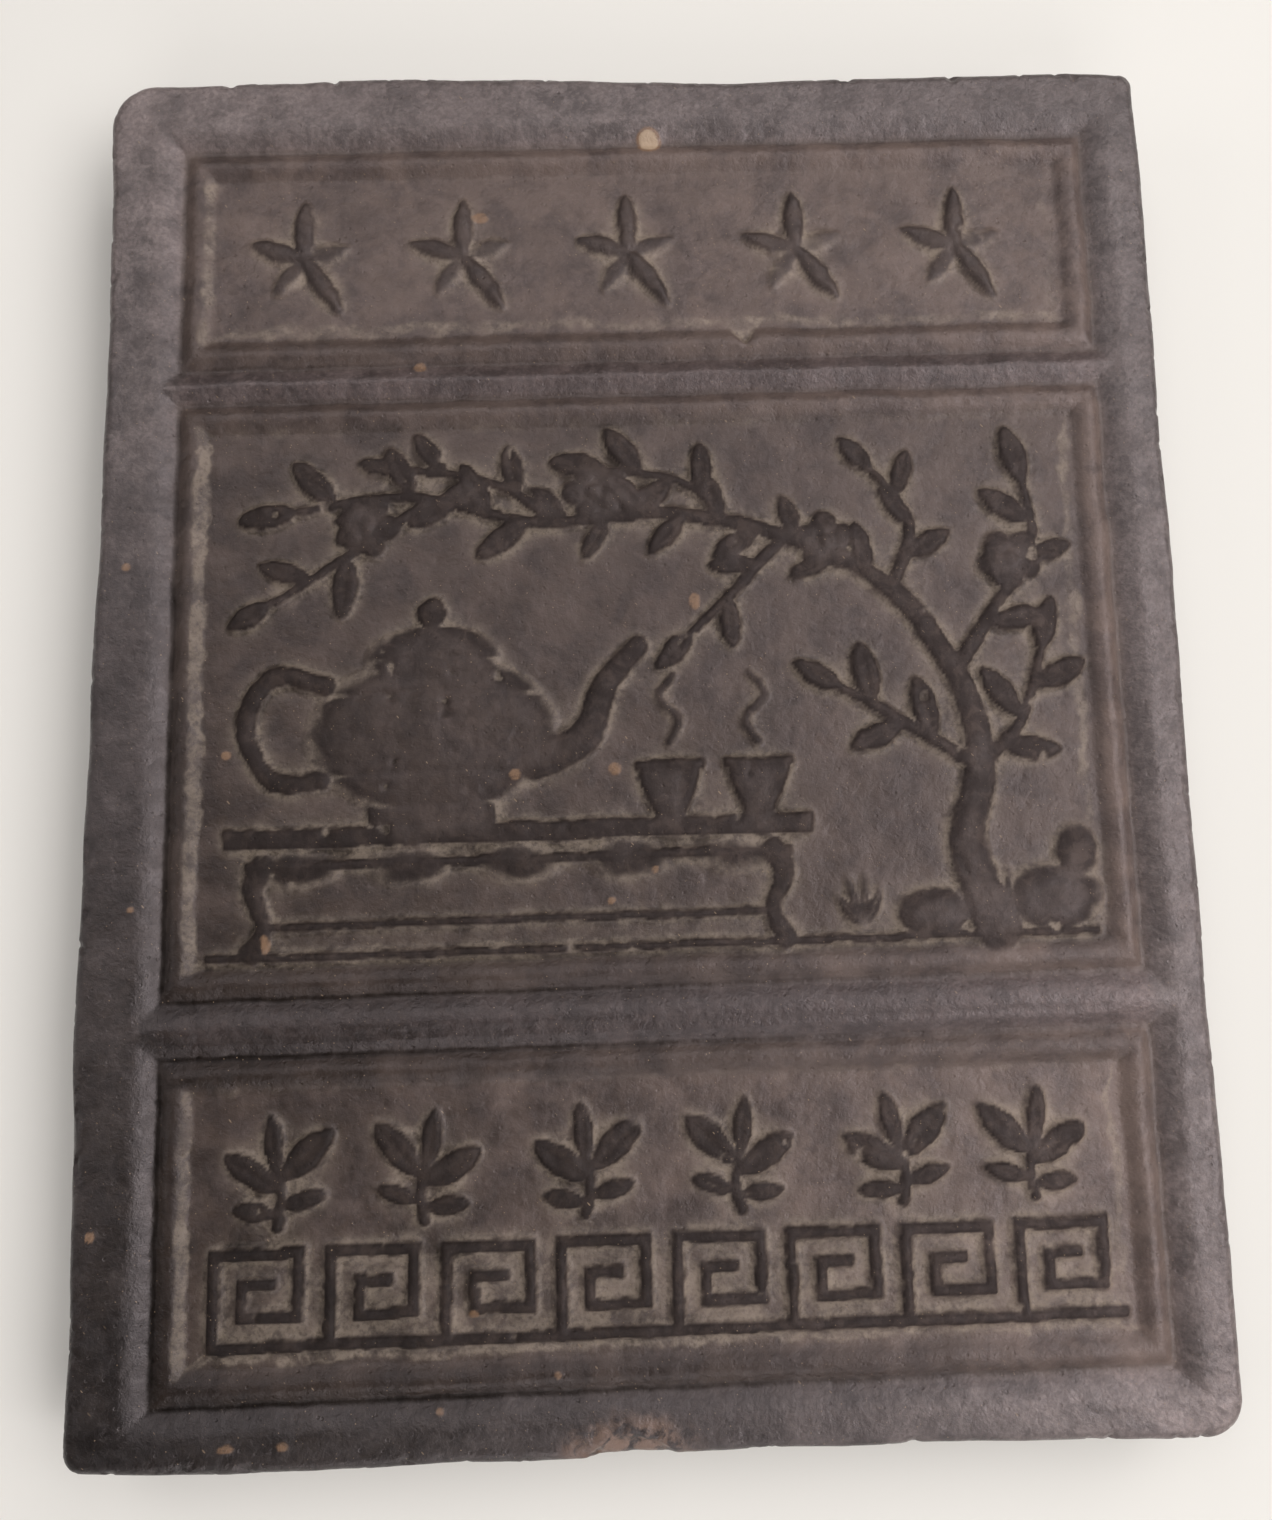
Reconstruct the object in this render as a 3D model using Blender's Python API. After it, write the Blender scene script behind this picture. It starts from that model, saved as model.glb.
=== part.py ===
"""A pressed brick of black tea, lying flat with its decorated face up.

One solid: an uneven slab with rounded edges, three framed recesses in the upper face, a
narrow bead round the inside of each, and low relief in them. The top panel holds a row of
stars, the middle one a tea tree over a table with a teapot and cups, and the bottom one a
row of tea sprigs above a key fret. Metres, +Z up. The origin is at the middle of the
underside, +X runs across the brick and +Y along it, towards the stars.
"""

import math
import random

import bmesh
import bpy
from mathutils import Matrix, Vector

MM = 0.001

# The slab
BRICK_WIDTH = 187.0 * MM
BRICK_LENGTH = 237.0 * MM
BRICK_THICKNESS = 20.0 * MM
EDGE_ROUNDING = 2.2 * MM
EDGE_ROUNDING_STEPS = 2
OUTLINE_STEP = 8.5 * MM
CORNER_STEPS = 4
CORNER_FADE = 0.08
CRUMBLE_DEPTH = 0.10 * MM
CRUMBLE_WAVES = (11, 17, 29)

# Each corner's radius, counter-clockwise from the lower right one
CORNER_RADII = (6.5 * MM, 2.3 * MM, 8.5 * MM, 3.0 * MM)

# Each side's slow bow, counter-clockwise from the right side: depth, then the wave's period
# and start as shares of the side's length
SIDE_BOWS = (
    (0.25 * MM, 1.40, 0.67),
    (0.55 * MM, 0.64, 0.54),
    (0.57 * MM, 0.80, 0.45),
    (0.68 * MM, 1.20, 1.01),
)

# The framed panels: the edges of their openings in the upper face
PANEL_LEFT = -82.3 * MM
PANEL_RIGHT = 85.7 * MM
TOP_PANEL = (60.9 * MM, 107.9 * MM)
MIDDLE_PANEL = (-48.2 * MM, 60.3 * MM)
BOTTOM_PANEL = (-110.6 * MM, -51.6 * MM)
RECESS_DEPTH = 1.8 * MM
WALL_RUN = 3.1 * MM
BEAD_INSET = 5.8 * MM
BEAD_WIDTH = 5.0 * MM
BEAD_TOP_WIDTH = 1.1 * MM
BEAD_HEIGHT = 1.2 * MM

# The mould sat a little askew: all that it pressed rises by this share of the way to the right
PRESS_SKEW = 0.012

GROUND = BRICK_THICKNESS - RECESS_DEPTH
FOOTING = 0.6 * MM
STROKE_BEVEL_STEPS = 1
BOSS_SHOULDER = 0.7
BAR_SLOPE = 0.5 * MM
CUT_CLEARANCE = 1.0 * MM

# The stars
STAR_PLACES = (-58.1 * MM, -29.7 * MM, -0.3 * MM, 29.8 * MM, 58.6 * MM)
STAR_POINTS = 5
STAR_TURNS = (-2.0, 0.0, 1.0, 2.0, -1.0)
STAR_Y = 84.1 * MM
STAR_WAIST = 4.0 * MM
STAR_SHOULDER = 0.9 * MM
STAR_HEIGHT = 1.5 * MM

# The length of a star's arms, counter-clockwise from the upright one
STAR_ARMS = (11.5 * MM, 10.3 * MM, 8.9 * MM, 12.5 * MM, 8.9 * MM)

# The tea tree, in millimetres from the middle panel's centre. A limb is a list of
# (across, up, width) through which it runs smoothly.
MIDDLE_X = (PANEL_LEFT + PANEL_RIGHT) / 2
MIDDLE_Y = (MIDDLE_PANEL[0] + MIDDLE_PANEL[1]) / 2 + 0.5 * MM
TRUNK = (
    (57, -44, 9.0),
    (53, -30, 7.0),
    (56, -14, 5.6),
    (51, 2, 4.6),
    (40, 16, 3.8),
    (22, 25, 3.2),
    (2, 29, 2.8),
    (-20, 28, 2.4),
    (-40, 33, 2.0),
    (-60, 31, 1.6),
)
BOUGHS = (
    ((52, -1, 3.4), (61, 12, 2.8), (67, 23, 2.4), (66, 32, 1.8)),
    ((54, -18, 3.0), (63, -10, 2.4), (67, 2, 1.8)),
    ((42, 14, 2.8), (46, 26, 2.2), (40, 35, 1.8)),
    ((54, -16, 2.8), (43, -9, 2.4), (33, -3, 1.8)),
    ((24, 24, 2.6), (15, 15, 2.2), (8, 8, 1.7)),
    ((14, 27, 2.4), (7, 34, 2.0), (-6, 37, 1.7)),
    ((-16, 28, 2.2), (-26, 35, 2.0), (-41, 38, 1.6)),
    ((-38, 32, 2.2), (-51, 23, 2.0), (-64, 15, 1.6)),
)
LIMB_STEP = 6.5
LIMB_HEIGHT = 1.3 * MM
TRUNK_LEAFLESS = 0.40
BOUGH_LEAFLESS = 0.28
LEAF_SPACING = 6.7
LEAF_LENGTH = 10.4
LEAF_SLIMNESS = 0.44
LEAF_POINTEDNESS = 0.42
LEAF_SPREAD = 50.0
LEAF_UNEVENNESS = 0.15
LEAF_SIDES = 8
LEAF_SHOULDER = 0.8 * MM
LEAF_HEIGHT = 1.35 * MM
LEAF_SEED = 7

# Blossoms on the tree: (across, up), with five round petals
BLOSSOMS = ((31, 23), (-9, 33), (63, 19), (-48, 28))
PETALS = 5
BLOSSOM_TURN = 17.0
PETAL_SIDES = 6
PETAL_RADIUS = 2.5
PETAL_REACH = 3.3
HEART_RADIUS = 1.7
PETAL_HEIGHT = 1.3 * MM
HEART_HEIGHT = 1.6 * MM

# The table, by edges in millimetres from the middle panel's centre: (left, low, right, high)
TABLE_BARS = (
    (-72.0, -27.6, 27.0, -23.6),
    (-68.5, -31.2, 23.5, -29.0),
    (-64.0, -41.0, 19.0, -39.2),
    (-74.5, -46.0, 74.5, -44.2),
)
TABLE_BAR_HEIGHT = 1.2 * MM
TABLE_LEGS = (-65.0, 20.0)
LEG_LINE = ((0.0, -30.0, 5.0), (1.6, -34.0, 4.0), (-0.4, -40.0, 2.8), (1.8, -44.5, 4.2))
LEG_STEP = 3.0
SCALLOPS = 5
SCALLOP_SHARE = 0.40
SCALLOP_RISE = 0.6
SCALLOP_DROP = 3.4
SCALLOP_HEIGHT = 0.9 * MM

# The teapot, in the same units
POT_CENTRE = (-37.0, -8.5)
POT_HALF_SIZE = (21.5, 14.0)
POT_HEIGHT = 1.6 * MM
LID_CENTRE = (-37.0, 4.5)
LID_HALF_SIZE = (11.5, 5.8)
LID_HEIGHT = 1.5 * MM
KNOB_CENTRE = (-37.0, 12.2)
KNOB_RADIUS = 2.8
POT_FOOT = (-48.0, -24.6, -26.0, -20.4)
POT_FOOT_HEIGHT = 1.1 * MM
SPOUT = ((-20.0, -13.5, 8.0), (-11.5, -10.0, 6.0), (-7.5, -1.0, 4.8), (-2.0, 5.5, 4.0))
POT_HANDLE = ((-55.0, 0.0, 3.8), (-63.5, 2.0, 3.6), (-68.5, -6.5, 3.6), (-64.0, -15.5, 3.6),
              (-55.5, -16.0, 3.8))
SPOUT_STEP = 3.0
SPOUT_HEIGHT = 1.3 * MM
LARGE_DOME = 9.0 * MM
LARGE_DOME_SEGMENTS = 20
LARGE_DOME_RINGS = 8
SMALL_DOME_SEGMENTS = 12
SMALL_DOME_RINGS = 4

# The cups and their steam
CUPS = (3.0, 18.0)
CUP_FLOOR = -24.2
CUP_RIM = -14.4
CUP_TOP_HALF_WIDTH = 5.6
CUP_BASE_HALF_WIDTH = 2.6
CUP_OUTLINE_STEPS = 4
CUP_HEIGHT = 1.3 * MM
CUP_CHAMFER = 0.35 * MM
CUP_RIM_OVERHANG = 0.5
CUP_RIM_BAND = (-1.7, 0.3)
CUP_RIM_HEIGHT = 1.5 * MM
STEAM = ((0.0, -11.5, 1.6), (1.8, -7.5, 1.7), (-1.4, -3.5, 1.6), (1.0, 0.5, 1.3))
STEAM_STEP = 2.0
STEAM_HEIGHT = 0.9 * MM

# Stones and grass at the foot of the tree: (across, up, half width, half height)
STONES = ((67.0, -39.5, 8.5, 6.0), (46.5, -41.5, 6.5, 4.5), (71.0, -32.0, 3.8, 5.0))
STONE_HEIGHT = 1.3 * MM
GRASS_TUFTS = (34.5, 58.5)
GRASS_LEANS = (-34.0, -14.0, 6.0, 26.0)
GRASS_LENGTH = 11.0
GRASS_WIDTH = 2.2
GRASS_HEIGHT = 1.0 * MM
GRASS_SHORTEST_LEAN = 120.0
GRASS_FLOOR = -44.0

# The sprigs of the bottom panel: a stem with two leaves, two leaflets and a bud
SPRIG_PLACES = (-60.3 * MM, -35.8 * MM, -10.7 * MM, 14.7 * MM, 39.7 * MM, 62.5 * MM)
SPRIG_LEANS = (5.0, -7.0, 3.0, -4.0, 8.0, -5.0)
SPRIG_Y = -72.0 * MM
SPRIG_STEM = ((-0.4, -8.8, 2.2), (0.8, -4.6, 2.1), (0.2, 0.0, 2.0))
SPRIG_STEM_STEP = 2.5
SPRIG_STEM_HEIGHT = 1.1 * MM
SPRIG_LEAF_HEIGHT = 1.25 * MM
SPRIG_LEAVES = (
    (0.6, -3.6, 143.0, 11.2, 5.0),
    (0.6, -2.2, 40.0, 11.8, 5.2),
    (0.2, -1.4, 92.0, 10.4, 3.8),
    (0.2, -6.8, 171.0, 7.8, 3.6),
    (0.4, -6.0, 10.0, 8.0, 3.6),
)

# The key fret below them: a base rail and one square hook a repeat
FRET_REPEATS = 8
FRET_LEFT = -71.5
FRET_PITCH = 18.4
FRET_LOW = -99.0
FRET_STROKE = 2.4
FRET_TOP_STROKE = 1.3
FRET_HEIGHT = 1.2 * MM
FRET_HOOK = ((0.0, 0.0), (0.0, 14.0), (13.4, 14.0), (13.4, 4.4), (4.6, 4.4), (4.6, 9.4), (9.0, 9.4))

# Damage: a chip through the top panel's lower bead, and a flake off the lower edge
CHIP_PLACE = (19.5 * MM, 69.4 * MM)
CHIP_RADIUS = 3.2 * MM
CHIP_FLARE = 1.6
CHIP_FLOOR = 0.1 * MM
FLAKE_PLACE = (-4.0 * MM, -118.2 * MM)
FLAKE_HALF_SIZE = (7.0 * MM, 4.2 * MM)
FLAKE_DEPTH = 1.6 * MM

CAP_WELD = 0.01 * MM
SLIVER_WELD = 0.02 * MM
SMOOTH_ANGLE = 30.0
SORTING_LINE = Vector((1.0, 0.617, 0.233))

COLLECTION_NAME = "black_tea_brick"
NODE_NAME = "tea_brick"
TEA_COLOUR = (0.060, 0.046, 0.043, 1.0)
TEA_ROUGHNESS = 0.68


def clear_scene():
    """Remove every object, so that the script starts from nothing."""
    for item in list(bpy.data.objects):
        bpy.data.objects.remove(item, do_unlink=True)


def new_collection(name):
    """A collection linked to the scene."""
    group = bpy.data.collections.new(name)
    bpy.context.scene.collection.children.link(group)
    return group


def object_from_bmesh(name, shape, group):
    """Turn a bmesh into an object of the given collection."""
    bmesh.ops.recalc_face_normals(shape, faces=shape.faces)
    mesh = bpy.data.meshes.new(name)
    shape.to_mesh(mesh)
    shape.free()
    item = bpy.data.objects.new(name, mesh)
    group.objects.link(item)
    return item


def curve_to_mesh(item, group):
    """Replace a curve by its evaluated mesh, with the loose caps welded on."""
    bpy.context.view_layer.update()
    graph = bpy.context.evaluated_depsgraph_get()
    mesh = bpy.data.meshes.new_from_object(item.evaluated_get(graph))
    shape = bmesh.new()
    shape.from_mesh(mesh)
    bmesh.ops.remove_doubles(shape, verts=shape.verts, dist=CAP_WELD)
    bmesh.ops.recalc_face_normals(shape, faces=shape.faces)
    shape.to_mesh(mesh)
    shape.free()
    solid = bpy.data.objects.new(item.name + "_solid", mesh)
    solid.matrix_world = item.matrix_world.copy()
    group.objects.link(solid)
    bpy.data.objects.remove(item, do_unlink=True)
    return solid


def new_curve(name, dimensions, points, radii, cyclic):
    """A curve object of one straight-sided spline."""
    data = bpy.data.curves.new(name, "CURVE")
    data.dimensions = dimensions
    spline = data.splines.new("POLY")
    spline.points.add(len(points) - 1)
    for slot, point, radius in zip(spline.points, points, radii):
        slot.co = (*point, 1.0)
        slot.radius = radius
    spline.use_cyclic_u = cyclic
    item = bpy.data.objects.new(name, data)
    bpy.context.scene.collection.objects.link(item)
    return item


def scaled(pair):
    """A pair of millimetre values in metres."""
    return pair[0] * MM, pair[1] * MM


def middle_point(across, up):
    """World x and y of a point given in millimetres from the middle panel's centre."""
    return MIDDLE_X + across * MM, MIDDLE_Y + up * MM


def middle_line(line):
    """A line of (across, up, width) from the middle panel's centre, in world metres."""
    return [(*middle_point(p.x, p.y), p.z * MM) for p in line]


def smooth_line(knots, step):
    """Points along a Catmull-Rom line through the knots, about one every step.

    Each knot is a tuple of numbers, and all of them are interpolated alike.
    """
    ends = [knots[0], *knots, knots[-1]]
    line = []
    for i in range(1, len(ends) - 2):
        p0, p1, p2, p3 = (Vector(ends[i + k]) for k in (-1, 0, 1, 2))
        count = max(2, round((p2 - p1).length / step))
        for k in range(count):
            t = k / count
            line.append(
                0.5
                * (
                    2 * p1
                    + (p2 - p0) * t
                    + (2 * p0 - 5 * p1 + 4 * p2 - p3) * t**2
                    + (3 * p1 - p0 - 3 * p2 + p3) * t**3
                )
            )
    line.append(Vector(ends[-1]))
    return line


# The slab


def side_offset(side, share, along):
    """How far one side stands out from its straight line, at a share of its length."""
    depth, period, start = SIDE_BOWS[side]
    fade = min(1.0, share / CORNER_FADE, (1.0 - share) / CORNER_FADE)
    bow = depth * math.sin(2 * math.pi * (share - start) / period)
    crumble = sum(math.sin(waves * along * 2 * math.pi + waves) for waves in CRUMBLE_WAVES)
    return fade * (bow + CRUMBLE_DEPTH * crumble)


def slab_outline():
    """The slab's uneven outline, counter-clockwise, fitted to the stated width and length."""
    half_w = BRICK_WIDTH / 2
    half_l = BRICK_LENGTH / 2
    corners = ((half_w, -half_l), (half_w, half_l), (-half_w, half_l), (-half_w, -half_l))
    points = []
    for side, (corner, radius) in enumerate(zip(corners, CORNER_RADII)):
        heading = Vector((math.cos(math.pi / 2 * (side + 1)), math.sin(math.pi / 2 * (side + 1))))
        heading = Vector((round(heading.x), round(heading.y)))
        outward = Vector((heading.y, -heading.x))
        following = Vector(corners[(side + 1) % 4])
        next_radius = CORNER_RADII[(side + 1) % 4]
        centre = Vector(corner) + (heading - outward) * radius
        for k in range(CORNER_STEPS):
            turn = math.pi / 2 * (k / CORNER_STEPS - 1)
            arm = outward * math.cos(turn) + heading * math.sin(turn)
            points.append(centre + arm * radius)
        start = Vector(corner) + heading * radius
        length = (following - heading * next_radius - start).length
        count = round(length / OUTLINE_STEP)
        for k in range(count):
            share = k / count
            along = (side + share) / 4
            offset = side_offset(side, share, along)
            points.append(start + heading * length * share + outward * offset)
    low = Vector((min(p.x for p in points), min(p.y for p in points)))
    high = Vector((max(p.x for p in points), max(p.y for p in points)))
    middle = (low + high) / 2
    size = high - low
    return [
        ((p.x - middle.x) * BRICK_WIDTH / size.x, (p.y - middle.y) * BRICK_LENGTH / size.y)
        for p in points
    ]


def inset_outline(points, inset):
    """The same outline moved inwards along its normals."""
    moved = []
    for i, (x, y) in enumerate(points):
        before = Vector(points[i - 1])
        after = Vector(points[(i + 1) % len(points)])
        along = (after - before).normalized()
        moved.append((x - along.y * inset, y + along.x * inset))
    return moved


def make_slab(group):
    """The plain slab: its outline extruded, with the rounding as the curve's bevel."""
    outline = inset_outline(slab_outline(), EDGE_ROUNDING)
    points = [(x, y, 0.0) for x, y in outline]
    item = new_curve("slab", "2D", points, [1.0] * len(points), True)
    item.data.fill_mode = "BOTH"
    item.data.bevel_depth = EDGE_ROUNDING
    item.data.bevel_resolution = EDGE_ROUNDING_STEPS
    item.data.extrude = BRICK_THICKNESS / 2 - EDGE_ROUNDING
    item.location.z = BRICK_THICKNESS / 2
    slab = curve_to_mesh(item, group)
    slab.name = NODE_NAME
    return slab


# Shapes that the relief is made of


def tapered_box(name, low, high, bottom, top, run, group):
    """A box from bottom to top whose upper face is larger by run on every side.

    A negative run makes it smaller, as on a raised bar.
    """
    shape = bmesh.new()
    bmesh.ops.create_cube(shape, size=1.0)
    for vert in shape.verts:
        spread = run if vert.co.z > 0 else 0.0
        vert.co.x = (low[0] + high[0]) / 2 + vert.co.x * (high[0] - low[0] + 2 * spread)
        vert.co.y = (low[1] + high[1]) / 2 + vert.co.y * (high[1] - low[1] + 2 * spread)
        vert.co.z = top if vert.co.z > 0 else bottom
    return object_from_bmesh(name, shape, group)


def bar(name, low, high, height, run, group):
    """A raised straight bar on the ground, with sloped sides."""
    return tapered_box(name, low, high, GROUND - FOOTING, GROUND + height, -run, group)


def boss(name, segments, shoulder, height, place, group):
    """A small raised shape: steep sides up to a shoulder, and facets up to its middle.

    place takes a point of the unit circle and gives its world x and y.
    """
    shape = bmesh.new()
    bmesh.ops.create_cone(
        shape, cap_ends=True, segments=segments, radius1=1.0, radius2=BOSS_SHOULDER, depth=1.0
    )
    lid = max(shape.faces, key=lambda face: face.calc_center_median().z)
    bmesh.ops.poke(shape, faces=[lid])
    for vert in shape.verts:
        x, y = place(vert.co.x, vert.co.y)
        middle = math.hypot(vert.co.x, vert.co.y) < BOSS_SHOULDER / 2
        z = GROUND - FOOTING
        if vert.co.z > 0:
            z = GROUND + (height if middle else shoulder)
        vert.co = (x, y, z)
    return object_from_bmesh(name, shape, group)


def stroke(name, line, height, group):
    """A raised line of varying width: a round bevel flattened to its height.

    line holds (x, y, width), the first two in world metres.
    """
    points = [(x, y, 0.0) for x, y, _ in line]
    widest = max(width for _, _, width in line)
    radii = [width / widest for _, _, width in line]
    item = new_curve(name, "3D", points, radii, False)
    item.data.bevel_depth = widest / 2
    item.data.bevel_resolution = STROKE_BEVEL_STEPS
    item.data.use_fill_caps = True
    item.location.z = GROUND - FOOTING / 2
    item.scale.z = (height + FOOTING / 2) / (widest / 2)
    return curve_to_mesh(item, group)


def plate(name, outline, height, chamfer, group):
    """A raised flat shape with chamfered edges, from a closed outline in world metres."""
    points = [(x, y, 0.0) for x, y in inset_outline(outline, chamfer)]
    item = new_curve(name, "2D", points, [1.0] * len(points), True)
    item.data.fill_mode = "BOTH"
    item.data.bevel_depth = chamfer
    item.data.bevel_resolution = 0
    item.data.extrude = (height + FOOTING) / 2 - chamfer
    item.location.z = GROUND + (height - FOOTING) / 2
    return curve_to_mesh(item, group)


def dome(name, centre, half_size, height, group):
    """A low round swelling: a sphere pressed flat, its equator at the ground."""
    large = max(half_size) > LARGE_DOME
    segments = LARGE_DOME_SEGMENTS if large else SMALL_DOME_SEGMENTS
    rings = LARGE_DOME_RINGS if large else SMALL_DOME_RINGS
    shape = bmesh.new()
    bmesh.ops.create_uvsphere(shape, u_segments=segments, v_segments=rings, radius=1.0)
    for vert in shape.verts:
        x = centre[0] + vert.co.x * half_size[0]
        y = centre[1] + vert.co.y * half_size[1]
        z = GROUND + (height * vert.co.z if vert.co.z > 0 else FOOTING * vert.co.z)
        vert.co = (x, y, z)
    return object_from_bmesh(name, shape, group)


def leaf(name, base, angle, length, width, height, group):
    """A pointed leaf from its base towards an angle in degrees, raised in the middle."""
    turn = Matrix.Rotation(math.radians(angle), 2)

    def place(c, s):
        half_width = width / 2 * s * abs(s) ** LEAF_POINTEDNESS
        point = turn @ Vector((length * (1 + c) / 2, half_width))
        return base[0] + point.x, base[1] + point.y

    return boss(name, LEAF_SIDES, LEAF_SHOULDER, height, place, group)


# The relief


def make_frames(group):
    """The narrow bead round the inside of each panel, as four bars."""
    half = BEAD_WIDTH / 2
    run = (BEAD_WIDTH - BEAD_TOP_WIDTH) / 2
    left = PANEL_LEFT + BEAD_INSET
    right = PANEL_RIGHT - BEAD_INSET
    for number, (panel_low, panel_high) in enumerate((TOP_PANEL, MIDDLE_PANEL, BOTTOM_PANEL)):
        low = panel_low + BEAD_INSET
        high = panel_high - BEAD_INSET
        sides = (
            ((left - half, low - half), (left + half, high + half)),
            ((right - half, low - half), (right + half, high + half)),
            ((left - half, low - half), (right + half, low + half)),
            ((left - half, high - half), (right + half, high + half)),
        )
        for side, (start, end) in enumerate(sides):
            bar(f"bead_{number}_{side}", start, end, BEAD_HEIGHT, run, group)


def make_stars(group):
    """Five-pointed stars: ten-sided cones with every second rim point drawn in."""
    for number, (x, turn) in enumerate(zip(STAR_PLACES, STAR_TURNS)):

        def place(c, s, x=x, turn=turn):
            step = round(math.atan2(-c, s) * STAR_POINTS / math.pi)
            reach = math.hypot(c, s) * (STAR_WAIST if step % 2 else STAR_ARMS[step // 2 % 5])
            heading = math.pi / 2 + step * math.pi / STAR_POINTS + math.radians(turn)
            return x + reach * math.cos(heading), STAR_Y + reach * math.sin(heading)

        boss(f"star_{number}", 2 * STAR_POINTS, STAR_SHOULDER, STAR_HEIGHT, place, group)


def leaf_stations(line, first_share):
    """Points along a limb for its leaves: (across, up, heading in degrees, side).

    They alternate sides, start at a share of the limb's length, and end at its tip.
    """
    lengths = [0.0]
    for before, after in zip(line, line[1:]):
        lengths.append(lengths[-1] + (after.xy - before.xy).length)
    total = lengths[-1]
    count = round(total * (1 - first_share) / LEAF_SPACING)
    stations = []
    for k in range(count + 1):
        reach = total * (first_share + (1 - first_share) * k / count)
        index = min(sum(1 for length in lengths if length < reach) or 1, len(line) - 1)
        before, after = line[index - 1].xy, line[index].xy
        share = (reach - lengths[index - 1]) / (lengths[index] - lengths[index - 1])
        point = before.lerp(after, share)
        heading = math.degrees(math.atan2(after.y - before.y, after.x - before.x))
        side = 0 if k == count else (1 if k % 2 else -1)
        stations.append((point.x, point.y, heading, side))
    return stations


def make_tree(group):
    """The trunk and boughs with their leaves."""
    dice = random.Random(LEAF_SEED)
    limbs = [(TRUNK, TRUNK_LEAFLESS)]
    limbs += [(bough, BOUGH_LEAFLESS) for bough in BOUGHS]
    for number, (knots, first_share) in enumerate(limbs):
        line = smooth_line(knots, LIMB_STEP)
        stroke(f"limb_{number}", middle_line(line), LIMB_HEIGHT, group)
        for place, (across, up, heading, side) in enumerate(leaf_stations(line, first_share)):
            uneven = 1 + LEAF_UNEVENNESS * dice.uniform(-1, 1)
            angle = heading + side * LEAF_SPREAD * (1 + LEAF_UNEVENNESS * dice.uniform(-1, 1))
            length = LEAF_LENGTH * uneven * MM
            height = LEAF_HEIGHT * (1 + LEAF_UNEVENNESS * dice.uniform(-1, 1))
            base = middle_point(across, up)
            width = length * LEAF_SLIMNESS
            leaf(f"leaf_{number}_{place}", base, angle, length, width, height, group)


def make_blossoms(group):
    """Round blossoms of five petals with a raised heart."""
    for number, (across, up) in enumerate(BLOSSOMS):
        for petal in range(PETALS):
            angle = math.radians(90 + 360 / PETALS * petal + BLOSSOM_TURN * number)
            centre = middle_point(
                across + PETAL_REACH * math.cos(angle), up + PETAL_REACH * math.sin(angle)
            )

            def place(c, s, centre=centre):
                return centre[0] + c * PETAL_RADIUS * MM, centre[1] + s * PETAL_RADIUS * MM

            name = f"petal_{number}_{petal}"
            boss(name, PETAL_SIDES, LEAF_SHOULDER, PETAL_HEIGHT, place, group)

        def heart(c, s, across=across, up=up):
            return middle_point(across + c * HEART_RADIUS, up + s * HEART_RADIUS)

        boss(f"heart_{number}", PETAL_SIDES, PETAL_HEIGHT, HEART_HEIGHT, heart, group)


def make_table(group):
    """A long low table: top, moulding, stretcher, scalloped apron and bowed legs."""
    for number, (left, low, right, high) in enumerate(TABLE_BARS):
        start, end = middle_point(left, low), middle_point(right, high)
        bar(f"table_bar_{number}", start, end, TABLE_BAR_HEIGHT, BAR_SLOPE, group)
    left, low, right, _ = TABLE_BARS[1]
    width = (right - left) / SCALLOPS
    for number in range(SCALLOPS):
        across = left + width * (number + 0.5)
        centre = middle_point(across, low + SCALLOP_RISE)
        half_size = scaled((width * SCALLOP_SHARE, SCALLOP_DROP))
        dome(f"scallop_{number}", centre, half_size, SCALLOP_HEIGHT, group)
    for number, foot in enumerate(TABLE_LEGS):
        outward = -1 if number == 0 else 1
        knots = [(foot + outward * shift, up, width) for shift, up, width in LEG_LINE]
        world = middle_line(smooth_line(knots, LEG_STEP))
        stroke(f"table_leg_{number}", world, TABLE_BAR_HEIGHT, group)


def make_teapot(group):
    """A round teapot with lid, knob, spout, handle and foot."""
    dome("pot", middle_point(*POT_CENTRE), scaled(POT_HALF_SIZE), POT_HEIGHT, group)
    dome("pot_lid", middle_point(*LID_CENTRE), scaled(LID_HALF_SIZE), LID_HEIGHT, group)
    dome("pot_knob", middle_point(*KNOB_CENTRE), (KNOB_RADIUS * MM,) * 2, POT_HEIGHT, group)
    left, low, right, high = POT_FOOT
    start, end = middle_point(left, low), middle_point(right, high)
    bar("pot_foot", start, end, POT_FOOT_HEIGHT, BAR_SLOPE, group)
    for name, knots in (("pot_spout", SPOUT), ("pot_handle", POT_HANDLE)):
        stroke(name, middle_line(smooth_line(knots, SPOUT_STEP)), SPOUT_HEIGHT, group)


def cup_outline(across):
    """A cup seen from the side, its walls curving in to the foot."""
    wall = []
    for k in range(CUP_OUTLINE_STEPS + 1):
        share = k / CUP_OUTLINE_STEPS
        half = CUP_BASE_HALF_WIDTH + (CUP_TOP_HALF_WIDTH - CUP_BASE_HALF_WIDTH) * math.sin(
            share * math.pi / 2
        )
        wall.append((half, CUP_FLOOR + (CUP_RIM - CUP_FLOOR) * share))
    right = [middle_point(across + half, up) for half, up in wall]
    left = [middle_point(across - half, up) for half, up in reversed(wall)]
    return right + left


def make_cups(group):
    """Two handleless cups, each with a curl of steam."""
    for number, across in enumerate(CUPS):
        plate(f"cup_{number}", cup_outline(across), CUP_HEIGHT, CUP_CHAMFER, group)
        reach = CUP_TOP_HALF_WIDTH + CUP_RIM_OVERHANG
        low = middle_point(across - reach, CUP_RIM + CUP_RIM_BAND[0])
        high = middle_point(across + reach, CUP_RIM + CUP_RIM_BAND[1])
        bar(f"cup_rim_{number}", low, high, CUP_RIM_HEIGHT, BAR_SLOPE, group)
        lean = 1 - 2 * number
        knots = [(across + lean * shift, up, width) for shift, up, width in STEAM]
        world = middle_line(smooth_line(knots, STEAM_STEP))
        stroke(f"steam_{number}", world, STEAM_HEIGHT, group)


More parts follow.
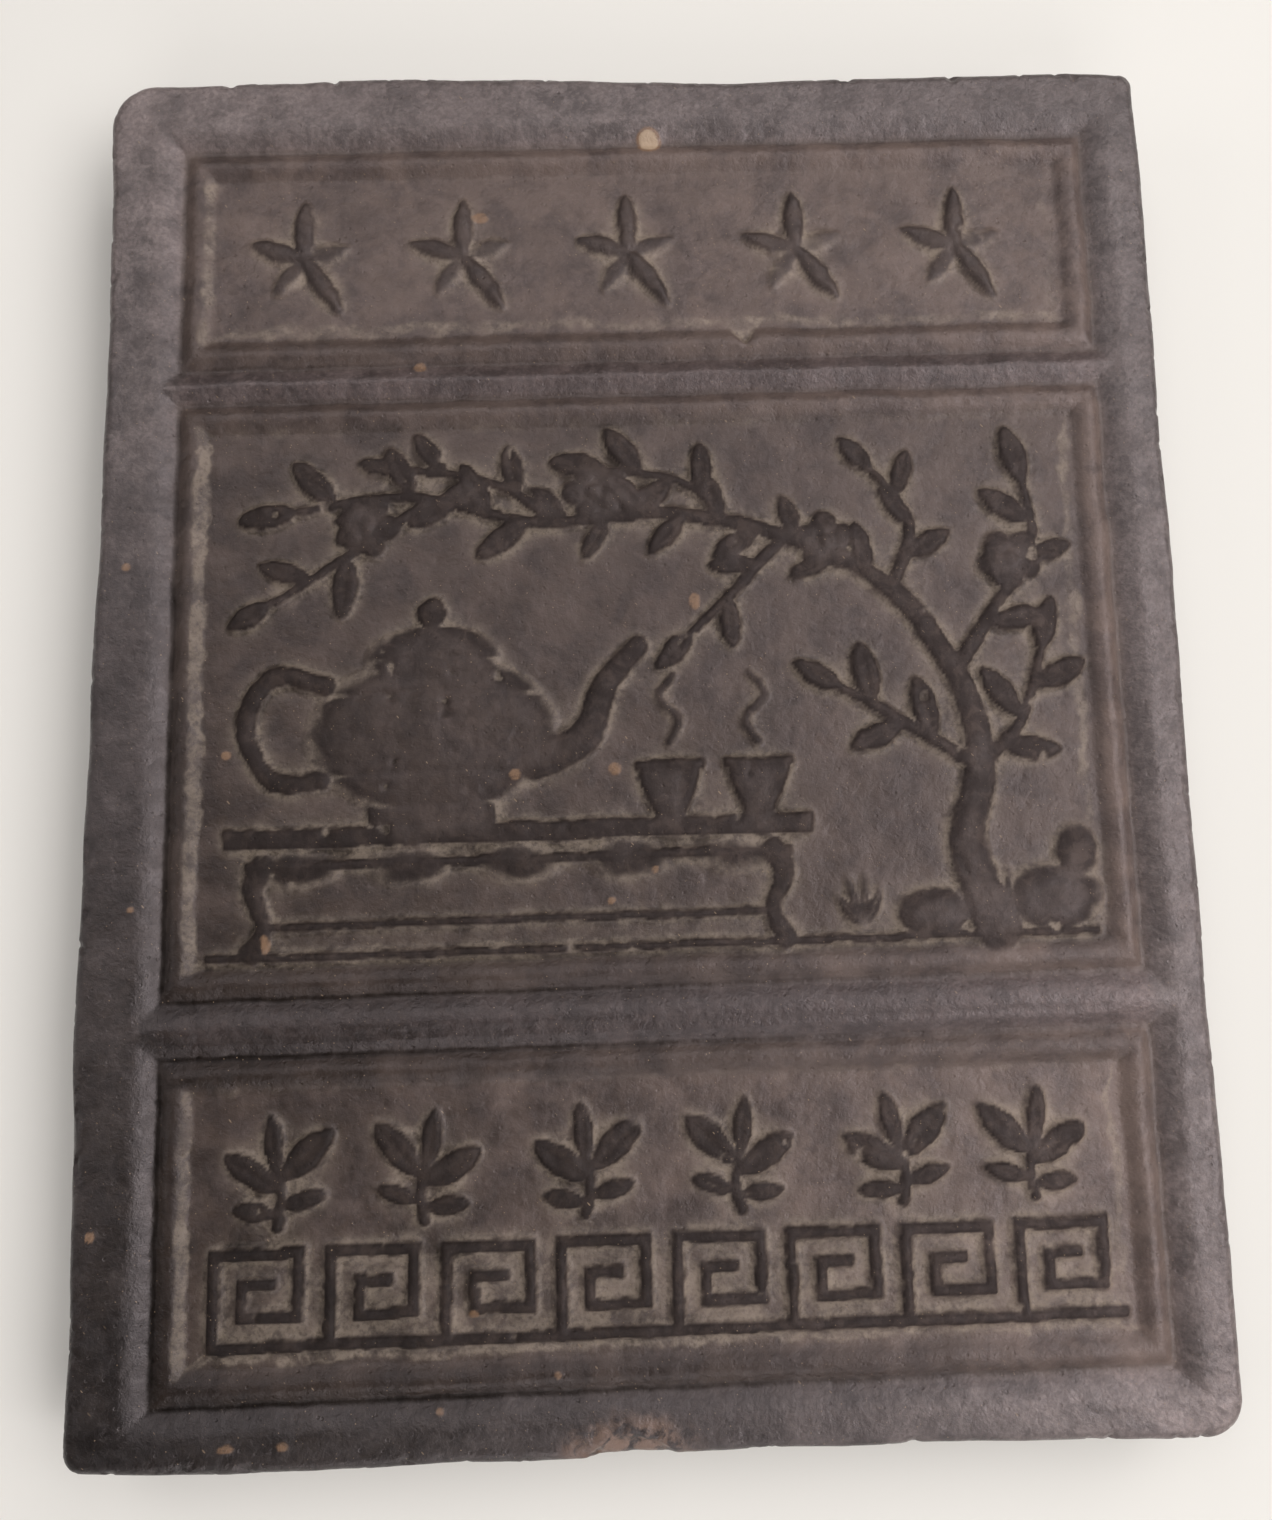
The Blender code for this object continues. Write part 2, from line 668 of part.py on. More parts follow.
def make_foot_of_tree(group):
    """Stones and tufts of grass."""
    for number, (across, up, half_x, half_y) in enumerate(STONES):
        centre = middle_point(across, up)
        dome(f"stone_{number}", centre, scaled((half_x, half_y)), STONE_HEIGHT, group)
    for tuft, across in enumerate(GRASS_TUFTS):
        base = middle_point(across, GRASS_FLOOR)
        for blade, lean in enumerate(GRASS_LEANS):
            length = GRASS_LENGTH * (1 - abs(lean) / GRASS_SHORTEST_LEAN) * MM
            name = f"grass_{tuft}_{blade}"
            leaf(name, base, 90 - lean, length, GRASS_WIDTH * MM, GRASS_HEIGHT, group)


def make_sprigs(group):
    """Six upright sprigs of tea, every second one mirrored."""
    for number, (x, lean) in enumerate(zip(SPRIG_PLACES, SPRIG_LEANS)):
        mirror = -1 if number % 2 else 1
        turn = Matrix.Rotation(math.radians(lean), 2)

        def place(across, up, x=x, mirror=mirror, turn=turn):
            point = turn @ Vector((mirror * across * MM, up * MM))
            return x + point.x, SPRIG_Y + point.y

        stem = smooth_line(SPRIG_STEM, SPRIG_STEM_STEP)
        line = [(*place(p.x, p.y), p.z * MM) for p in stem]
        stroke(f"sprig_stem_{number}", line, SPRIG_STEM_HEIGHT, group)
        for blade, (across, up, angle, length, width) in enumerate(SPRIG_LEAVES):
            heading = lean + (angle if mirror > 0 else 180 - angle)
            name = f"sprig_leaf_{number}_{blade}"
            base = place(across, up)
            leaf(name, base, heading, length * MM, width * MM, SPRIG_LEAF_HEIGHT, group)


def make_fret(group):
    """The key fret: a base rail with one square hook a repeat."""
    half = FRET_STROKE / 2
    run = (FRET_STROKE - FRET_TOP_STROKE) / 2 * MM
    right = FRET_LEFT + FRET_PITCH * FRET_REPEATS
    low = (MIDDLE_X + (FRET_LEFT - half) * MM, (FRET_LOW - half) * MM)
    high = (MIDDLE_X + (right - half) * MM, (FRET_LOW + half) * MM)
    bar("fret_rail", low, high, FRET_HEIGHT, run, group)
    for number in range(FRET_REPEATS):
        shift = FRET_LEFT + FRET_PITCH * number
        for piece, (start, end) in enumerate(zip(FRET_HOOK, FRET_HOOK[1:])):
            left, right = sorted((start[0], end[0]))
            bottom, top = sorted((start[1], end[1]))
            low = (MIDDLE_X + (shift + left - half) * MM, (FRET_LOW + bottom - half) * MM)
            high = (MIDDLE_X + (shift + right + half) * MM, (FRET_LOW + top + half) * MM)
            bar(f"fret_{number}_{piece}", low, high, FRET_HEIGHT, run, group)


# Cutting and joining


def combine(target, group, operation):
    """Join a collection to the target or cut it away, apply that, and remove its objects."""
    change = target.modifiers.new(operation.lower(), "BOOLEAN")
    change.operation = operation
    change.operand_type = "COLLECTION"
    change.collection = group
    change.solver = "EXACT"
    bpy.context.view_layer.update()
    graph = bpy.context.evaluated_depsgraph_get()
    mesh = bpy.data.meshes.new_from_object(target.evaluated_get(graph))
    target.modifiers.clear()
    target.data = mesh
    for item in list(group.objects):
        bpy.data.objects.remove(item, do_unlink=True)
    bpy.data.collections.remove(group)


def skew(group):
    """Lean every object of a collection as the mould leant, in its mesh."""
    lean = Matrix(((1, 0, 0, 0), (PRESS_SKEW, 1, 0, 0), (0, 0, 1, 0), (0, 0, 0, 1)))
    for item in group.objects:
        item.data.transform(lean @ item.matrix_world)
        item.matrix_world = Matrix.Identity(4)


def new_cutters(name):
    """A collection for cutters."""
    group = new_collection(name)
    group.hide_render = True
    return group


def cut_recesses(slab):
    """Sink the three panels, with sloped walls."""
    cutters = new_cutters("recess_cutters")
    for number, (low, high) in enumerate((TOP_PANEL, MIDDLE_PANEL, BOTTOM_PANEL)):
        top = BRICK_THICKNESS + CUT_CLEARANCE
        run = WALL_RUN * (top - GROUND) / RECESS_DEPTH
        start = (PANEL_LEFT + WALL_RUN, low + WALL_RUN)
        end = (PANEL_RIGHT - WALL_RUN, high - WALL_RUN)
        cutter = tapered_box(f"recess_{number}", start, end, GROUND, top, run, cutters)
        cutter.display_type = "WIRE"
    skew(cutters)
    combine(slab, cutters, "DIFFERENCE")


def add_relief(slab):
    """Join everything that stands up from the panels' ground."""
    relief = new_collection("relief")
    make_frames(relief)
    make_stars(relief)
    make_tree(relief)
    make_blossoms(relief)
    make_table(relief)
    make_teapot(relief)
    make_cups(relief)
    make_foot_of_tree(relief)
    make_sprigs(relief)
    make_fret(relief)
    skew(relief)
    combine(slab, relief, "UNION")


def cut_damage(slab):
    """Chip the top panel's lower bead and flake the lower edge."""
    cutters = new_cutters("damage_cutters")
    chip = bmesh.new()
    top = GROUND + 2 * BEAD_HEIGHT
    flare = CHIP_FLARE * CHIP_RADIUS
    bmesh.ops.create_cone(
        chip, cap_ends=True, segments=3, radius1=CHIP_RADIUS, radius2=flare, depth=1.0
    )
    for vert in chip.verts:
        x, y = vert.co.x, vert.co.y
        z = top if vert.co.z > 0 else GROUND + CHIP_FLOOR
        vert.co = (CHIP_PLACE[0] + y, CHIP_PLACE[1] - x, z)
    object_from_bmesh("chip", chip, cutters).display_type = "WIRE"
    flake = bmesh.new()
    bmesh.ops.create_icosphere(flake, subdivisions=2, radius=1.0)
    for vert in flake.verts:
        x = FLAKE_PLACE[0] + vert.co.x * FLAKE_HALF_SIZE[0]
        y = FLAKE_PLACE[1] + vert.co.y * FLAKE_HALF_SIZE[1]
        z = BRICK_THICKNESS + vert.co.z * FLAKE_DEPTH
        vert.co = (x, y, z)
    object_from_bmesh("flake", flake, cutters).display_type = "WIRE"
    combine(slab, cutters, "DIFFERENCE")


def tidy_mesh(slab):
    """Triangulate, weld slivers away and set the shading.

    The vertices are put in a fixed order first, so that the weld always keeps the same ones.
    """
    shape = bmesh.new()
    shape.from_mesh(slab.data)
    shape.verts.sort(key=lambda vert: vert.co.dot(SORTING_LINE))
    bmesh.ops.remove_doubles(shape, verts=shape.verts, dist=SLIVER_WELD)
    bmesh.ops.triangulate(shape, faces=shape.faces)
    shape.to_mesh(slab.data)
    shape.free()
    slab.data.shade_smooth()
    slab.data.set_sharp_from_angle(angle=math.radians(SMOOTH_ANGLE))


def tea_material():
    """Dark pressed tea."""
    material = bpy.data.materials.new("pressed_black_tea")
    material.use_nodes = True
    shader = material.node_tree.nodes["Principled BSDF"]
    shader.inputs["Base Color"].default_value = TEA_COLOUR
    shader.inputs["Roughness"].default_value = TEA_ROUGHNESS
    shader.inputs["Metallic"].default_value = 0.0
    return material


def main():
    clear_scene()
    brick = make_slab(new_collection(COLLECTION_NAME))
    cut_recesses(brick)
    add_relief(brick)
    cut_damage(brick)
    tidy_mesh(brick)
    brick.data.materials.clear()
    brick.data.materials.append(tea_material())
    brick.data.name = NODE_NAME


main()
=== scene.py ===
"""The looks of a pressed brick of black tea: its dense relief surface, material and studio.

The upper face is first worked out as a height field on a raster, in millimetres: stepped
panels, beads, motifs, wear and grain. One closed mesh then takes its heights from it and
replaces the plain CAD solid.
"""

import math
import random

import bpy
import numpy as np
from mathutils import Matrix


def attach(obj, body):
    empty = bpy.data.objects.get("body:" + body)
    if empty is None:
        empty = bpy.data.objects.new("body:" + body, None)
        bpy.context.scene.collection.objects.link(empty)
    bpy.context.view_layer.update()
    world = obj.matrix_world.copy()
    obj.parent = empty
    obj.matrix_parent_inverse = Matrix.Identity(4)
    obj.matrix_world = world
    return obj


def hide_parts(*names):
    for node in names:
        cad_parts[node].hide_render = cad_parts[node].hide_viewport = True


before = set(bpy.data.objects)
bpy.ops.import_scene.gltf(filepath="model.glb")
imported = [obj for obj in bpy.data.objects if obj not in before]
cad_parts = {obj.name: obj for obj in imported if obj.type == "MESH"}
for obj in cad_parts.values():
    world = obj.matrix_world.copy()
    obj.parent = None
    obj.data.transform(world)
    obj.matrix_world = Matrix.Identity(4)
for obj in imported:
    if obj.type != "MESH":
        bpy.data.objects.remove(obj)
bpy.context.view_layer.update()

MM = 0.001

# The slab, in millimetres
BRICK_WIDTH = 187.0
BRICK_LENGTH = 237.0
BRICK_THICKNESS = 20.0
EDGE_ROUNDING = 2.2
CORNER_FADE = 0.08
CRUMBLE_DEPTH = 0.10
CRUMBLE_WAVES = (11, 17, 29)

# Radii of the corners: lower right, upper right, upper left, lower left
CORNER_RADII = (6.5, 2.3, 8.5, 3.0)

# Each side's slow bow, counter-clockwise from the right side: depth, period and start
SIDE_BOWS = ((0.25, 1.40, 0.67), (0.55, 0.64, 0.54), (0.57, 0.80, 0.45), (0.68, 1.20, 1.01))

# The framed panels: the edges of their openings
PANEL_LEFT = -82.3
PANEL_RIGHT = 85.7
TOP_PANEL = (60.9, 107.9)
MIDDLE_PANEL = (-48.2, 60.3)
BOTTOM_PANEL = (-110.6, -51.6)
RECESS_DEPTH = 1.8
WALL_RUN = 2.6
WALL_SHOULDER = 1.8
WALL_CURVE = 1.7
BEAD_INSETS = (3.2, 5.5, 8.2)
BEAD_HEIGHT = 1.2
BAR_STEP_EDGES = (-52.0, -51.3, -47.8)
BAR_STEP_DROP = 0.36
BAR_STEP_ENDS = (70.0, 82.0)

# Where one panel's looks go over into the next one's, on the bars between them
PANEL_CHANGES = (-60.0, -50.0, 57.0, 64.0)

# The mould sat a little askew: all that it pressed rises by this share of the way to the right
PRESS_SKEW = 0.012

# The stars, and the length of their arms, counter-clockwise from the upright one
STAR_PLACES = (-58.1, -29.7, -0.3, 29.8, 58.6)
STAR_TURNS = (-2.0, 0.0, 1.0, 2.0, -1.0)
STAR_Y = 84.1
STAR_ARMS = (11.5, 10.3, 8.9, 12.5, 8.9)
STAR_ARM_WIDTH = 4.3
STAR_ARM_OVERLAP = 1.3
STAR_HEIGHTS = (1.5, 1.15, 0.8, 1.5, 0.75)

# The tea tree, in millimetres from the middle panel's centre
MIDDLE_X = (PANEL_LEFT + PANEL_RIGHT) / 2
MIDDLE_Y = (MIDDLE_PANEL[0] + MIDDLE_PANEL[1]) / 2 + 0.5
TRUNK = (
    (57, -44, 9.0), (53, -30, 7.0), (56, -14, 5.6), (51, 2, 4.6), (40, 16, 3.8),
    (22, 25, 3.2), (2, 29, 2.8), (-20, 28, 2.4), (-40, 33, 2.0), (-60, 31, 1.6),
)
BOUGHS = (
    ((52, -1, 3.4), (61, 12, 2.8), (67, 23, 2.4), (66, 32, 1.8)),
    ((54, -18, 3.0), (63, -10, 2.4), (67, 2, 1.8)),
    ((42, 14, 2.8), (46, 26, 2.2), (40, 35, 1.8)),
    ((54, -16, 2.8), (43, -9, 2.4), (33, -3, 1.8)),
    ((24, 24, 2.6), (15, 15, 2.2), (8, 8, 1.7)),
    ((14, 27, 2.4), (7, 34, 2.0), (-6, 37, 1.7)),
    ((-16, 28, 2.2), (-26, 35, 2.0), (-41, 38, 1.6)),
    ((-38, 32, 2.2), (-51, 23, 2.0), (-64, 15, 1.6)),
)
LIMB_STEP = 6.5
LIMB_HEIGHT = 1.3
BARK_DEPTH = 0.35
TRUNK_LEAFLESS = 0.40
BOUGH_LEAFLESS = 0.28
LEAF_SPACING = 6.7
LEAF_LENGTH = 10.4
LEAF_SLIMNESS = 0.44
LEAF_POINTEDNESS = 0.42
LEAF_SPREAD = 50.0
LEAF_UNEVENNESS = 0.15
LEAF_HEIGHT = 1.35
MIDRIB_DEPTH = 0.34
VEIN_DEPTH = 0.10
LEAF_SEED = 7

# Blossoms on the tree
BLOSSOMS = ((31, 23), (-9, 33), (63, 19), (-48, 28))
PETALS = 5
PETAL_RADIUS = 2.5
PETAL_REACH = 3.3
HEART_RADIUS = 1.7
PETAL_HEIGHT = 1.3
HEART_HEIGHT = 1.6

# The table: (left, low, right, high)
TABLE_BARS = (
    (-72.0, -27.6, 27.0, -23.6),
    (-68.5, -31.2, 23.5, -29.0),
    (-64.0, -41.0, 19.0, -39.2),
    (-74.5, -46.0, 74.5, -44.2),
)
TABLE_BAR_HEIGHT = 1.2
TABLE_LEGS = (-65.0, 20.0)
LEG_LINE = ((0.0, -30.0, 5.0), (1.6, -34.0, 4.0), (-0.4, -40.0, 2.8), (1.8, -44.5, 4.2))
SCALLOPS = 5
SCALLOP_DROP = 3.4
SCALLOP_HEIGHT = 0.9

# The teapot: belly, lid and knob as (centre, half size, height, grooves), then its foot
POT_DOMES = (
    ((-37.0, -8.5), (21.5, 14.0), 1.6, (0.42, -0.55)),
    ((-37.0, 4.5), (11.5, 5.8), 1.5, (-0.1,)),
    ((-37.0, 12.2), (2.8, 2.8), 1.6, ()),
)
POT_FOOT = (-48.0, -24.6, -26.0, -20.4)
POT_FOOT_HEIGHT = 1.1
SPOUT = ((-20.0, -13.5, 8.0), (-11.5, -10.0, 6.0), (-7.5, -1.0, 4.8), (-2.0, 5.5, 4.0))
SPOUT_HEIGHT = 1.3
POT_HANDLE = (
    (-55.0, 0.0, 3.8), (-63.5, 2.0, 3.6), (-68.5, -6.5, 3.6), (-64.0, -15.5, 3.6),
    (-55.5, -16.0, 3.8),
)

# The cups and their steam
CUPS = (3.0, 18.0)
CUP_FLOOR = -24.2
CUP_RIM = -14.4
CUP_TOP_HALF_WIDTH = 5.6
CUP_BASE_HALF_WIDTH = 2.6
CUP_OUTLINE_STEPS = 8
CUP_HEIGHT = 1.3
CUP_LIP_HEIGHT = 1.5
STEAM = ((0.0, -11.5, 1.6), (1.8, -7.5, 1.7), (-1.4, -3.5, 1.6), (1.0, 0.5, 1.3))
STEAM_HEIGHT = 0.9

# Stones and grass at the foot of the tree: (across, up, half width, half height)
STONES = ((67.0, -39.5, 8.5, 6.0), (46.5, -41.5, 6.5, 4.5), (71.0, -32.0, 3.8, 5.0))
STONE_HEIGHT = 1.3
GRASS_TUFTS = (34.5, 58.5)
GRASS_LEANS = (-34.0, -14.0, 6.0, 26.0)
GRASS_LENGTH = 11.0
GRASS_WIDTH = 2.2
GRASS_HEIGHT = 1.0
GRASS_FLOOR = -44.0

# The sprigs of the bottom panel
SPRIG_PLACES = (-60.3, -35.8, -10.7, 14.7, 39.7, 62.5)
SPRIG_LEANS = (5.0, -7.0, 3.0, -4.0, 8.0, -5.0)
SPRIG_Y = -72.0
SPRIG_STEM = ((-0.4, -8.8, 2.2), (0.8, -4.6, 2.1), (0.2, 0.0, 2.0))
SPRIG_STEM_HEIGHT = 1.1
SPRIG_LEAF_HEIGHT = 1.25
SPRIG_LEAVES = (
    (0.6, -3.6, 143.0, 11.2, 5.0),
    (0.6, -2.2, 40.0, 11.8, 5.2),
    (0.2, -1.4, 92.0, 10.4, 3.8),
    (0.2, -6.8, 171.0, 7.8, 3.6),
    (0.4, -6.0, 10.0, 8.0, 3.6),
)

# The key fret below them
FRET_REPEATS = 8
FRET_LEFT = -71.5
FRET_PITCH = 18.4
FRET_LOW = -99.0
FRET_STROKE = 2.4
FRET_HEIGHT = 1.2
FRET_HOOK = ((0.0, 0.0), (0.0, 14.0), (13.4, 14.0), (13.4, 4.4), (4.6, 4.4), (4.6, 9.4), (9.0, 9.4))

# Damage: a notch in the top panel's lower bead, and a flake off the lower edge
CHIP_CORNERS = ((15.0, 71.5), (23.8, 71.5), (20.2, 66.2))
FLAKE_PLACE = (-4.0, -118.2)
FLAKE_HALF_SIZE = (7.0, 4.2)
FLAKE_DEPTH = 1.6

# Stalks and grit pressed into the face: (x, y, half width, half height, paleness)
SPECKS = (
    (3.8, 105.5, 2.1, 2.2, 1.0), (-62.7, -37.1, 0.7, 1.7, 0.6), (-4.5, -8.9, 1.1, 1.1, 0.6),
    (-88.9, -82.2, 0.8, 0.9, 0.7), (-28.5, -95.8, 0.8, 0.8, 0.6), (-21.3, -9.7, 1.0, 1.0, 0.6),
    (-5.5, -31.0, 0.8, 0.7, 0.6), (-37.4, 62.9, 1.2, 1.0, 0.6), (9.8, 19.9, 0.9, 1.5, 0.6),
    (-87.1, 27.0, 0.7, 0.7, 0.6), (-84.4, -30.8, 0.7, 0.6, 0.6), (-70.0, -5.4, 0.8, 0.8, 0.6),
    (1.8, -26.2, 0.6, 0.7, 0.6), (-26.7, 91.2, 1.5, 1.0, 0.6), (-58.0, -114.0, 1.0, 0.6, 0.5),
    (-67.0, -114.2, 1.3, 0.7, 0.5), (-15.5, -105.0, 0.6, 0.6, 0.5), (-34.0, -110.0, 0.7, 0.6, 0.5),
)
SPECK_HEIGHT = 0.25

# The face's unevenness: heights of its slow swell, of its lumps on the border and how much
# more on the ground, of its crumb and of the scuffed flake's fibres, and depth of its pits
SWELL_HEIGHT = 0.12
LUMP_HEIGHTS = (0.06, 0.09)
CRUMB_HEIGHT = 0.10
PIT_DEPTH = 0.7
FIBRE_DEPTH = 0.35
PRESS_SOFTNESS = 0.22

# Dust drifted against the beads' inner sides: how far in it lies and how much there is, each
# with its change towards the left or lower side, across the brick and then along it
DRIFT_INSETS = ((8.6, -1.5), (8.7, 0.8))
DRIFT_AMOUNTS = ((0.85, 0.35), (0.55, 0.40))
DRIFT_CORE = 0.3

# The raster of the upper face, and the mesh that reads it
RASTER_STEP = 0.25
RASTER_MARGIN = 4.0
GRID_STEP = 0.45
RIM_WIDTH = 8.5
RIM_INSETS = (8.0, 7.5, 7.0, 6.5, 6.0, 5.5, 5.0, 4.5, 4.0, 3.5, 3.0, 2.6, 2.2, 1.8, 1.4, 1.05, 0.75,
              0.5, 0.3, 0.14, 0.04, 0.0)
WALL_ROWS = 20
FOOT_ROUNDING = 1.8
FOOT_STEPS = 5
UNDERSIDE_COARSENESS = 4
UNDERSIDE_INSET = 2.4
BITE_DEPTH = 2.2

# The flat map: its margin in millimetres, where the strip for the sides and the underside
# starts, the width of one side's band in it, and the scales there
MAP_MARGIN = 1.5
MAP_STRIP = 0.797
MAP_BAND = 0.051
MAP_SIDE_SCALE = 0.5
MAP_UNDERSIDE_SCALE = 0.25

BRICK_NAME = "pressed_tea"
FACE_MASKS = ("sunken", "raised", "foot", "hollow", "scuff", "speck", "sheen_and_bloom", "inner")

# The studio: soft boxes by azimuth, elevation and power
SOFT_BOXES = (
    (0, 50, 6.2), (30, 50, 3.0), (60, 50, 3.9), (120, 50, 3.2), (135, 68, 1.9),
    (330, 50, 7.8), (45, 30, 1.3), (180, 30, 2.5), (270, 30, 5.2),
)
SOFT_BOX_SIZE = 0.8
SOFT_BOX_DISTANCE = 1.5
LIGHT_COLOUR = (1.0, 0.97, 0.94)
WORLD_STRENGTH = 0.02

# The painted sheen, partly a pale bloom, as powers of e: at the face's middle, and its slow
# change to the right, to the top and across both; it is darkest towards the lower left
BORDER_SHEEN_AND_BLOOM = (0.72, 0.50, 0.50, -0.82)
BEAD_SHEEN_AND_BLOOM = (0.27, 0.72, 0.50, -0.60)
GROUND_SHEEN_AND_BLOOM = (0.08, 0.40, 0.20, -0.41)

CAMERA_LENS = 28.4
CAMERA_PLACE = (-0.0047, -0.0349, 0.2192)
CAMERA_TURNS = (7.77, -0.90, -1.31)


# Noise and small helpers


def ease(value, low, high):
    """Smooth step of value from 0 at low to 1 at high."""
    t = np.clip((value - low) / (high - low), 0.0, 1.0)
    return t * t * (3.0 - 2.0 * t)


def lumps(x, y, size, seed):
    """Gradient noise, roughly from -1 to 1, with lumps of the given size."""
    dice = np.random.default_rng(seed)
    angles = dice.uniform(0.0, 2.0 * np.pi, (256, 256))
    slope_x, slope_y = np.cos(angles), np.sin(angles)
    u = np.asarray(x) / size + 911.0
    v = np.asarray(y) / size + 577.0
    i, j = np.floor(u).astype(int), np.floor(v).astype(int)
    f, g = u - i, v - j
    a = f**3 * (f * (f * 6 - 15) + 10)
    b = g**3 * (g * (g * 6 - 15) + 10)

    def corner(di, dj):
        p, q = (j + dj) % 256, (i + di) % 256
        return slope_x[p, q] * (f - di) + slope_y[p, q] * (g - dj)

    low = corner(0, 0) * (1 - a) + corner(1, 0) * a
    high = corner(0, 1) * (1 - a) + corner(1, 1) * a
    return 1.5 * (low * (1 - b) + high * b)


def cloud(x, y, size, seed, octaves=3, fall=0.5):
    """Several layers of lumps, each half the size of the last."""
    total = sum(fall**k for k in range(octaves))
    layers = (fall**k * lumps(x, y, size / 2**k, seed + 31 * k) for k in range(octaves))
    return sum(layers) / total


def smooth_line(knots, step):
    """Points along a Catmull-Rom line through the knots, about one every step."""
    ends = [np.array(knot, float) for knot in (knots[0], *knots, knots[-1])]
    line = []
    for i in range(1, len(ends) - 2):
        p0, p1, p2, p3 = ends[i - 1 : i + 3]
        count = max(2, round(float(np.linalg.norm(p2 - p1)) / step))
        for k in range(count):
            t = k / count
            curve = 2 * p1 + (p2 - p0) * t + (2 * p0 - 5 * p1 + 4 * p2 - p3) * t**2
            line.append(0.5 * (curve + (3 * p1 - p0 - 3 * p2 + p3) * t**3))
    line.append(ends[-1])
    return np.array(line)


def middle_point(across, up):
    """World x and y of a point given from the middle panel's centre."""
    return MIDDLE_X + across, MIDDLE_Y + up


def point_towards(start, angle, length):
    """The point that lies a length away from the start, at an angle in degrees."""
    turn = math.radians(angle)
    return start[0] + length * math.cos(turn), start[1] + length * math.sin(turn)


# The raster


class Raster:
    """The upper face as arrays: x and y in millimetres, and the relief above the ground."""

    def __init__(self):
        halves = (BRICK_WIDTH / 2 + RASTER_MARGIN, BRICK_LENGTH / 2 + RASTER_MARGIN)
        self.xs, self.ys = (np.arange(-h, h + RASTER_STEP / 2, RASTER_STEP) for h in halves)
        self.x, self.y = np.meshgrid(self.xs, self.ys)
        # What is pressed is never quite true: places are looked up with a small drift
        slow_x, slow_y = (0.40 * cloud(self.x, self.y, 9.0, seed) for seed in (11, 13))
        quick_x, quick_y = (0.30 * cloud(self.x, self.y, 2.0, seed, 2) for seed in (12, 14))
        lean = PRESS_SKEW * self.x
        self.loose_x, self.loose_y = self.x + slow_x + quick_x, self.y + slow_y + quick_y
        self.warped_x, self.warped_y = self.loose_x, self.loose_y - lean
        self.frame_x = self.x + slow_x + 0.1 * quick_x
        self.frame_y = self.y + slow_y + 0.1 * quick_y - lean
        self.relief = np.zeros_like(self.x)

    def part(self, low, high, margin=3.0):
        """The raster round a box of the mould: a pair of slices, and the mould's x and y there."""
        columns = np.searchsorted(self.xs, (low[0] - margin, high[0] + margin))
        rows = np.searchsorted(self.ys, (low[1] - margin, high[1] + margin))
        window = np.s_[rows[0] : rows[1], columns[0] : columns[1]]
        return window, self.warped_x[window], self.warped_y[window]

    def lift(self, window, height):
        """Raise the relief to a height wherever that is higher."""
        np.maximum(self.relief[window], height, out=self.relief[window])

    def blurred(self, field, radius):
        """A field smoothed over a radius in millimetres."""
        rows, columns = field.shape
        fy = np.fft.fftfreq(rows, RASTER_STEP)[:, None]
        fx = np.fft.rfftfreq(columns, RASTER_STEP)[None, :]
        filter_ = np.exp(-2 * (np.pi * radius) ** 2 * (fx**2 + fy**2))
        return np.fft.irfft2(np.fft.rfft2(field) * filter_, s=field.shape)

    def sample(self, field, x, y):
        """A field's values between the raster's points."""
        u = np.clip((x - self.xs[0]) / RASTER_STEP, 0, len(self.xs) - 1.001)
        v = np.clip((y - self.ys[0]) / RASTER_STEP, 0, len(self.ys) - 1.001)
        i, j = u.astype(int), v.astype(int)
        f, g = u - i, v - j
        low = field[j, i] * (1 - f) + field[j, i + 1] * f
        high = field[j + 1, i] * (1 - f) + field[j + 1, i + 1] * f
        return low * (1 - g) + high * g


def shoulder(inside, height, run):
    """Height over a shape's edge: steep at first, then rounding off within the run."""
    t = np.clip(inside / run, 0.0, 1.0)
    return height * (1.0 - (1.0 - t) ** 2.2)


def near_segment(x, y, start, end):
    """How far along a segment each point's nearest place lies, and the distance to it."""
    dx, dy = end[0] - start[0], end[1] - start[1]
    t = ((x - start[0]) * dx + (y - start[1]) * dy) / (dx * dx + dy * dy + 1e-9)
    t = np.clip(t, 0, 1)
    return t, np.hypot(x - start[0] - t * dx, y - start[1] - t * dy)


def near_line(x, y, line):
    """Distance to a line of varying width: the gap to its middle and the width there."""
    gap = np.full_like(x, 1e6)
    width = np.ones_like(x)
    for start, end in zip(line, line[1:]):
        t, here = near_segment(x, y, start, end)
        closer = here < gap
        gap = np.where(closer, here, gap)
        width = np.where(closer, start[2] + t * (end[2] - start[2]), width)
    return gap, width


def near_outline(x, y, outline):
    """Signed distance to a closed outline, positive inside."""
    gap = np.full_like(x, 1e6)
    inside = np.zeros(x.shape, bool)
    for start, end in zip(outline, [*outline[1:], outline[0]]):
        gap = np.minimum(gap, near_segment(x, y, start, end)[1])
        (ax, ay), (bx, by) = start, end
        crosses = (ay > y) != (by > y)
        inside ^= crosses & (x < (bx - ax) * (y - ay) / (by - ay + 1e-12) + ax)
    return np.where(inside, gap, -gap)


def within(x, y, low, high):
    """How far each point lies inside a rectangle, negative outside."""
    return np.minimum(np.minimum(x - low[0], high[0] - x), np.minimum(y - low[1], high[1] - y))


# Motifs


def press_stroke(raster, line, height, grain=0.0):
    """A round ridge along a line, with an optional lengthwise grain."""
    widest = line[:, 2].max()
    window, x, y = raster.part(line[:, :2].min(0) - widest, line[:, :2].max(0) + widest)
    gap, width = near_line(x, y, line)
    share = np.clip(2 * gap / width, 0, 1)
    ridge = height * np.sqrt(1 - share**2) ** 0.8
    if grain:
        ridge -= grain * ridge * np.abs(lumps(gap * 3.0, (x + y) * 0.25, 1.0, 41))
    raster.lift(window, ridge)


def press_plate(raster, outline, height):
    """A flat raised shape with rounded shoulders."""
    points = np.array(outline)
    window, x, y = raster.part(points.min(0), points.max(0))
    raster.lift(window, shoulder(near_outline(x, y, outline), height, 1.0))


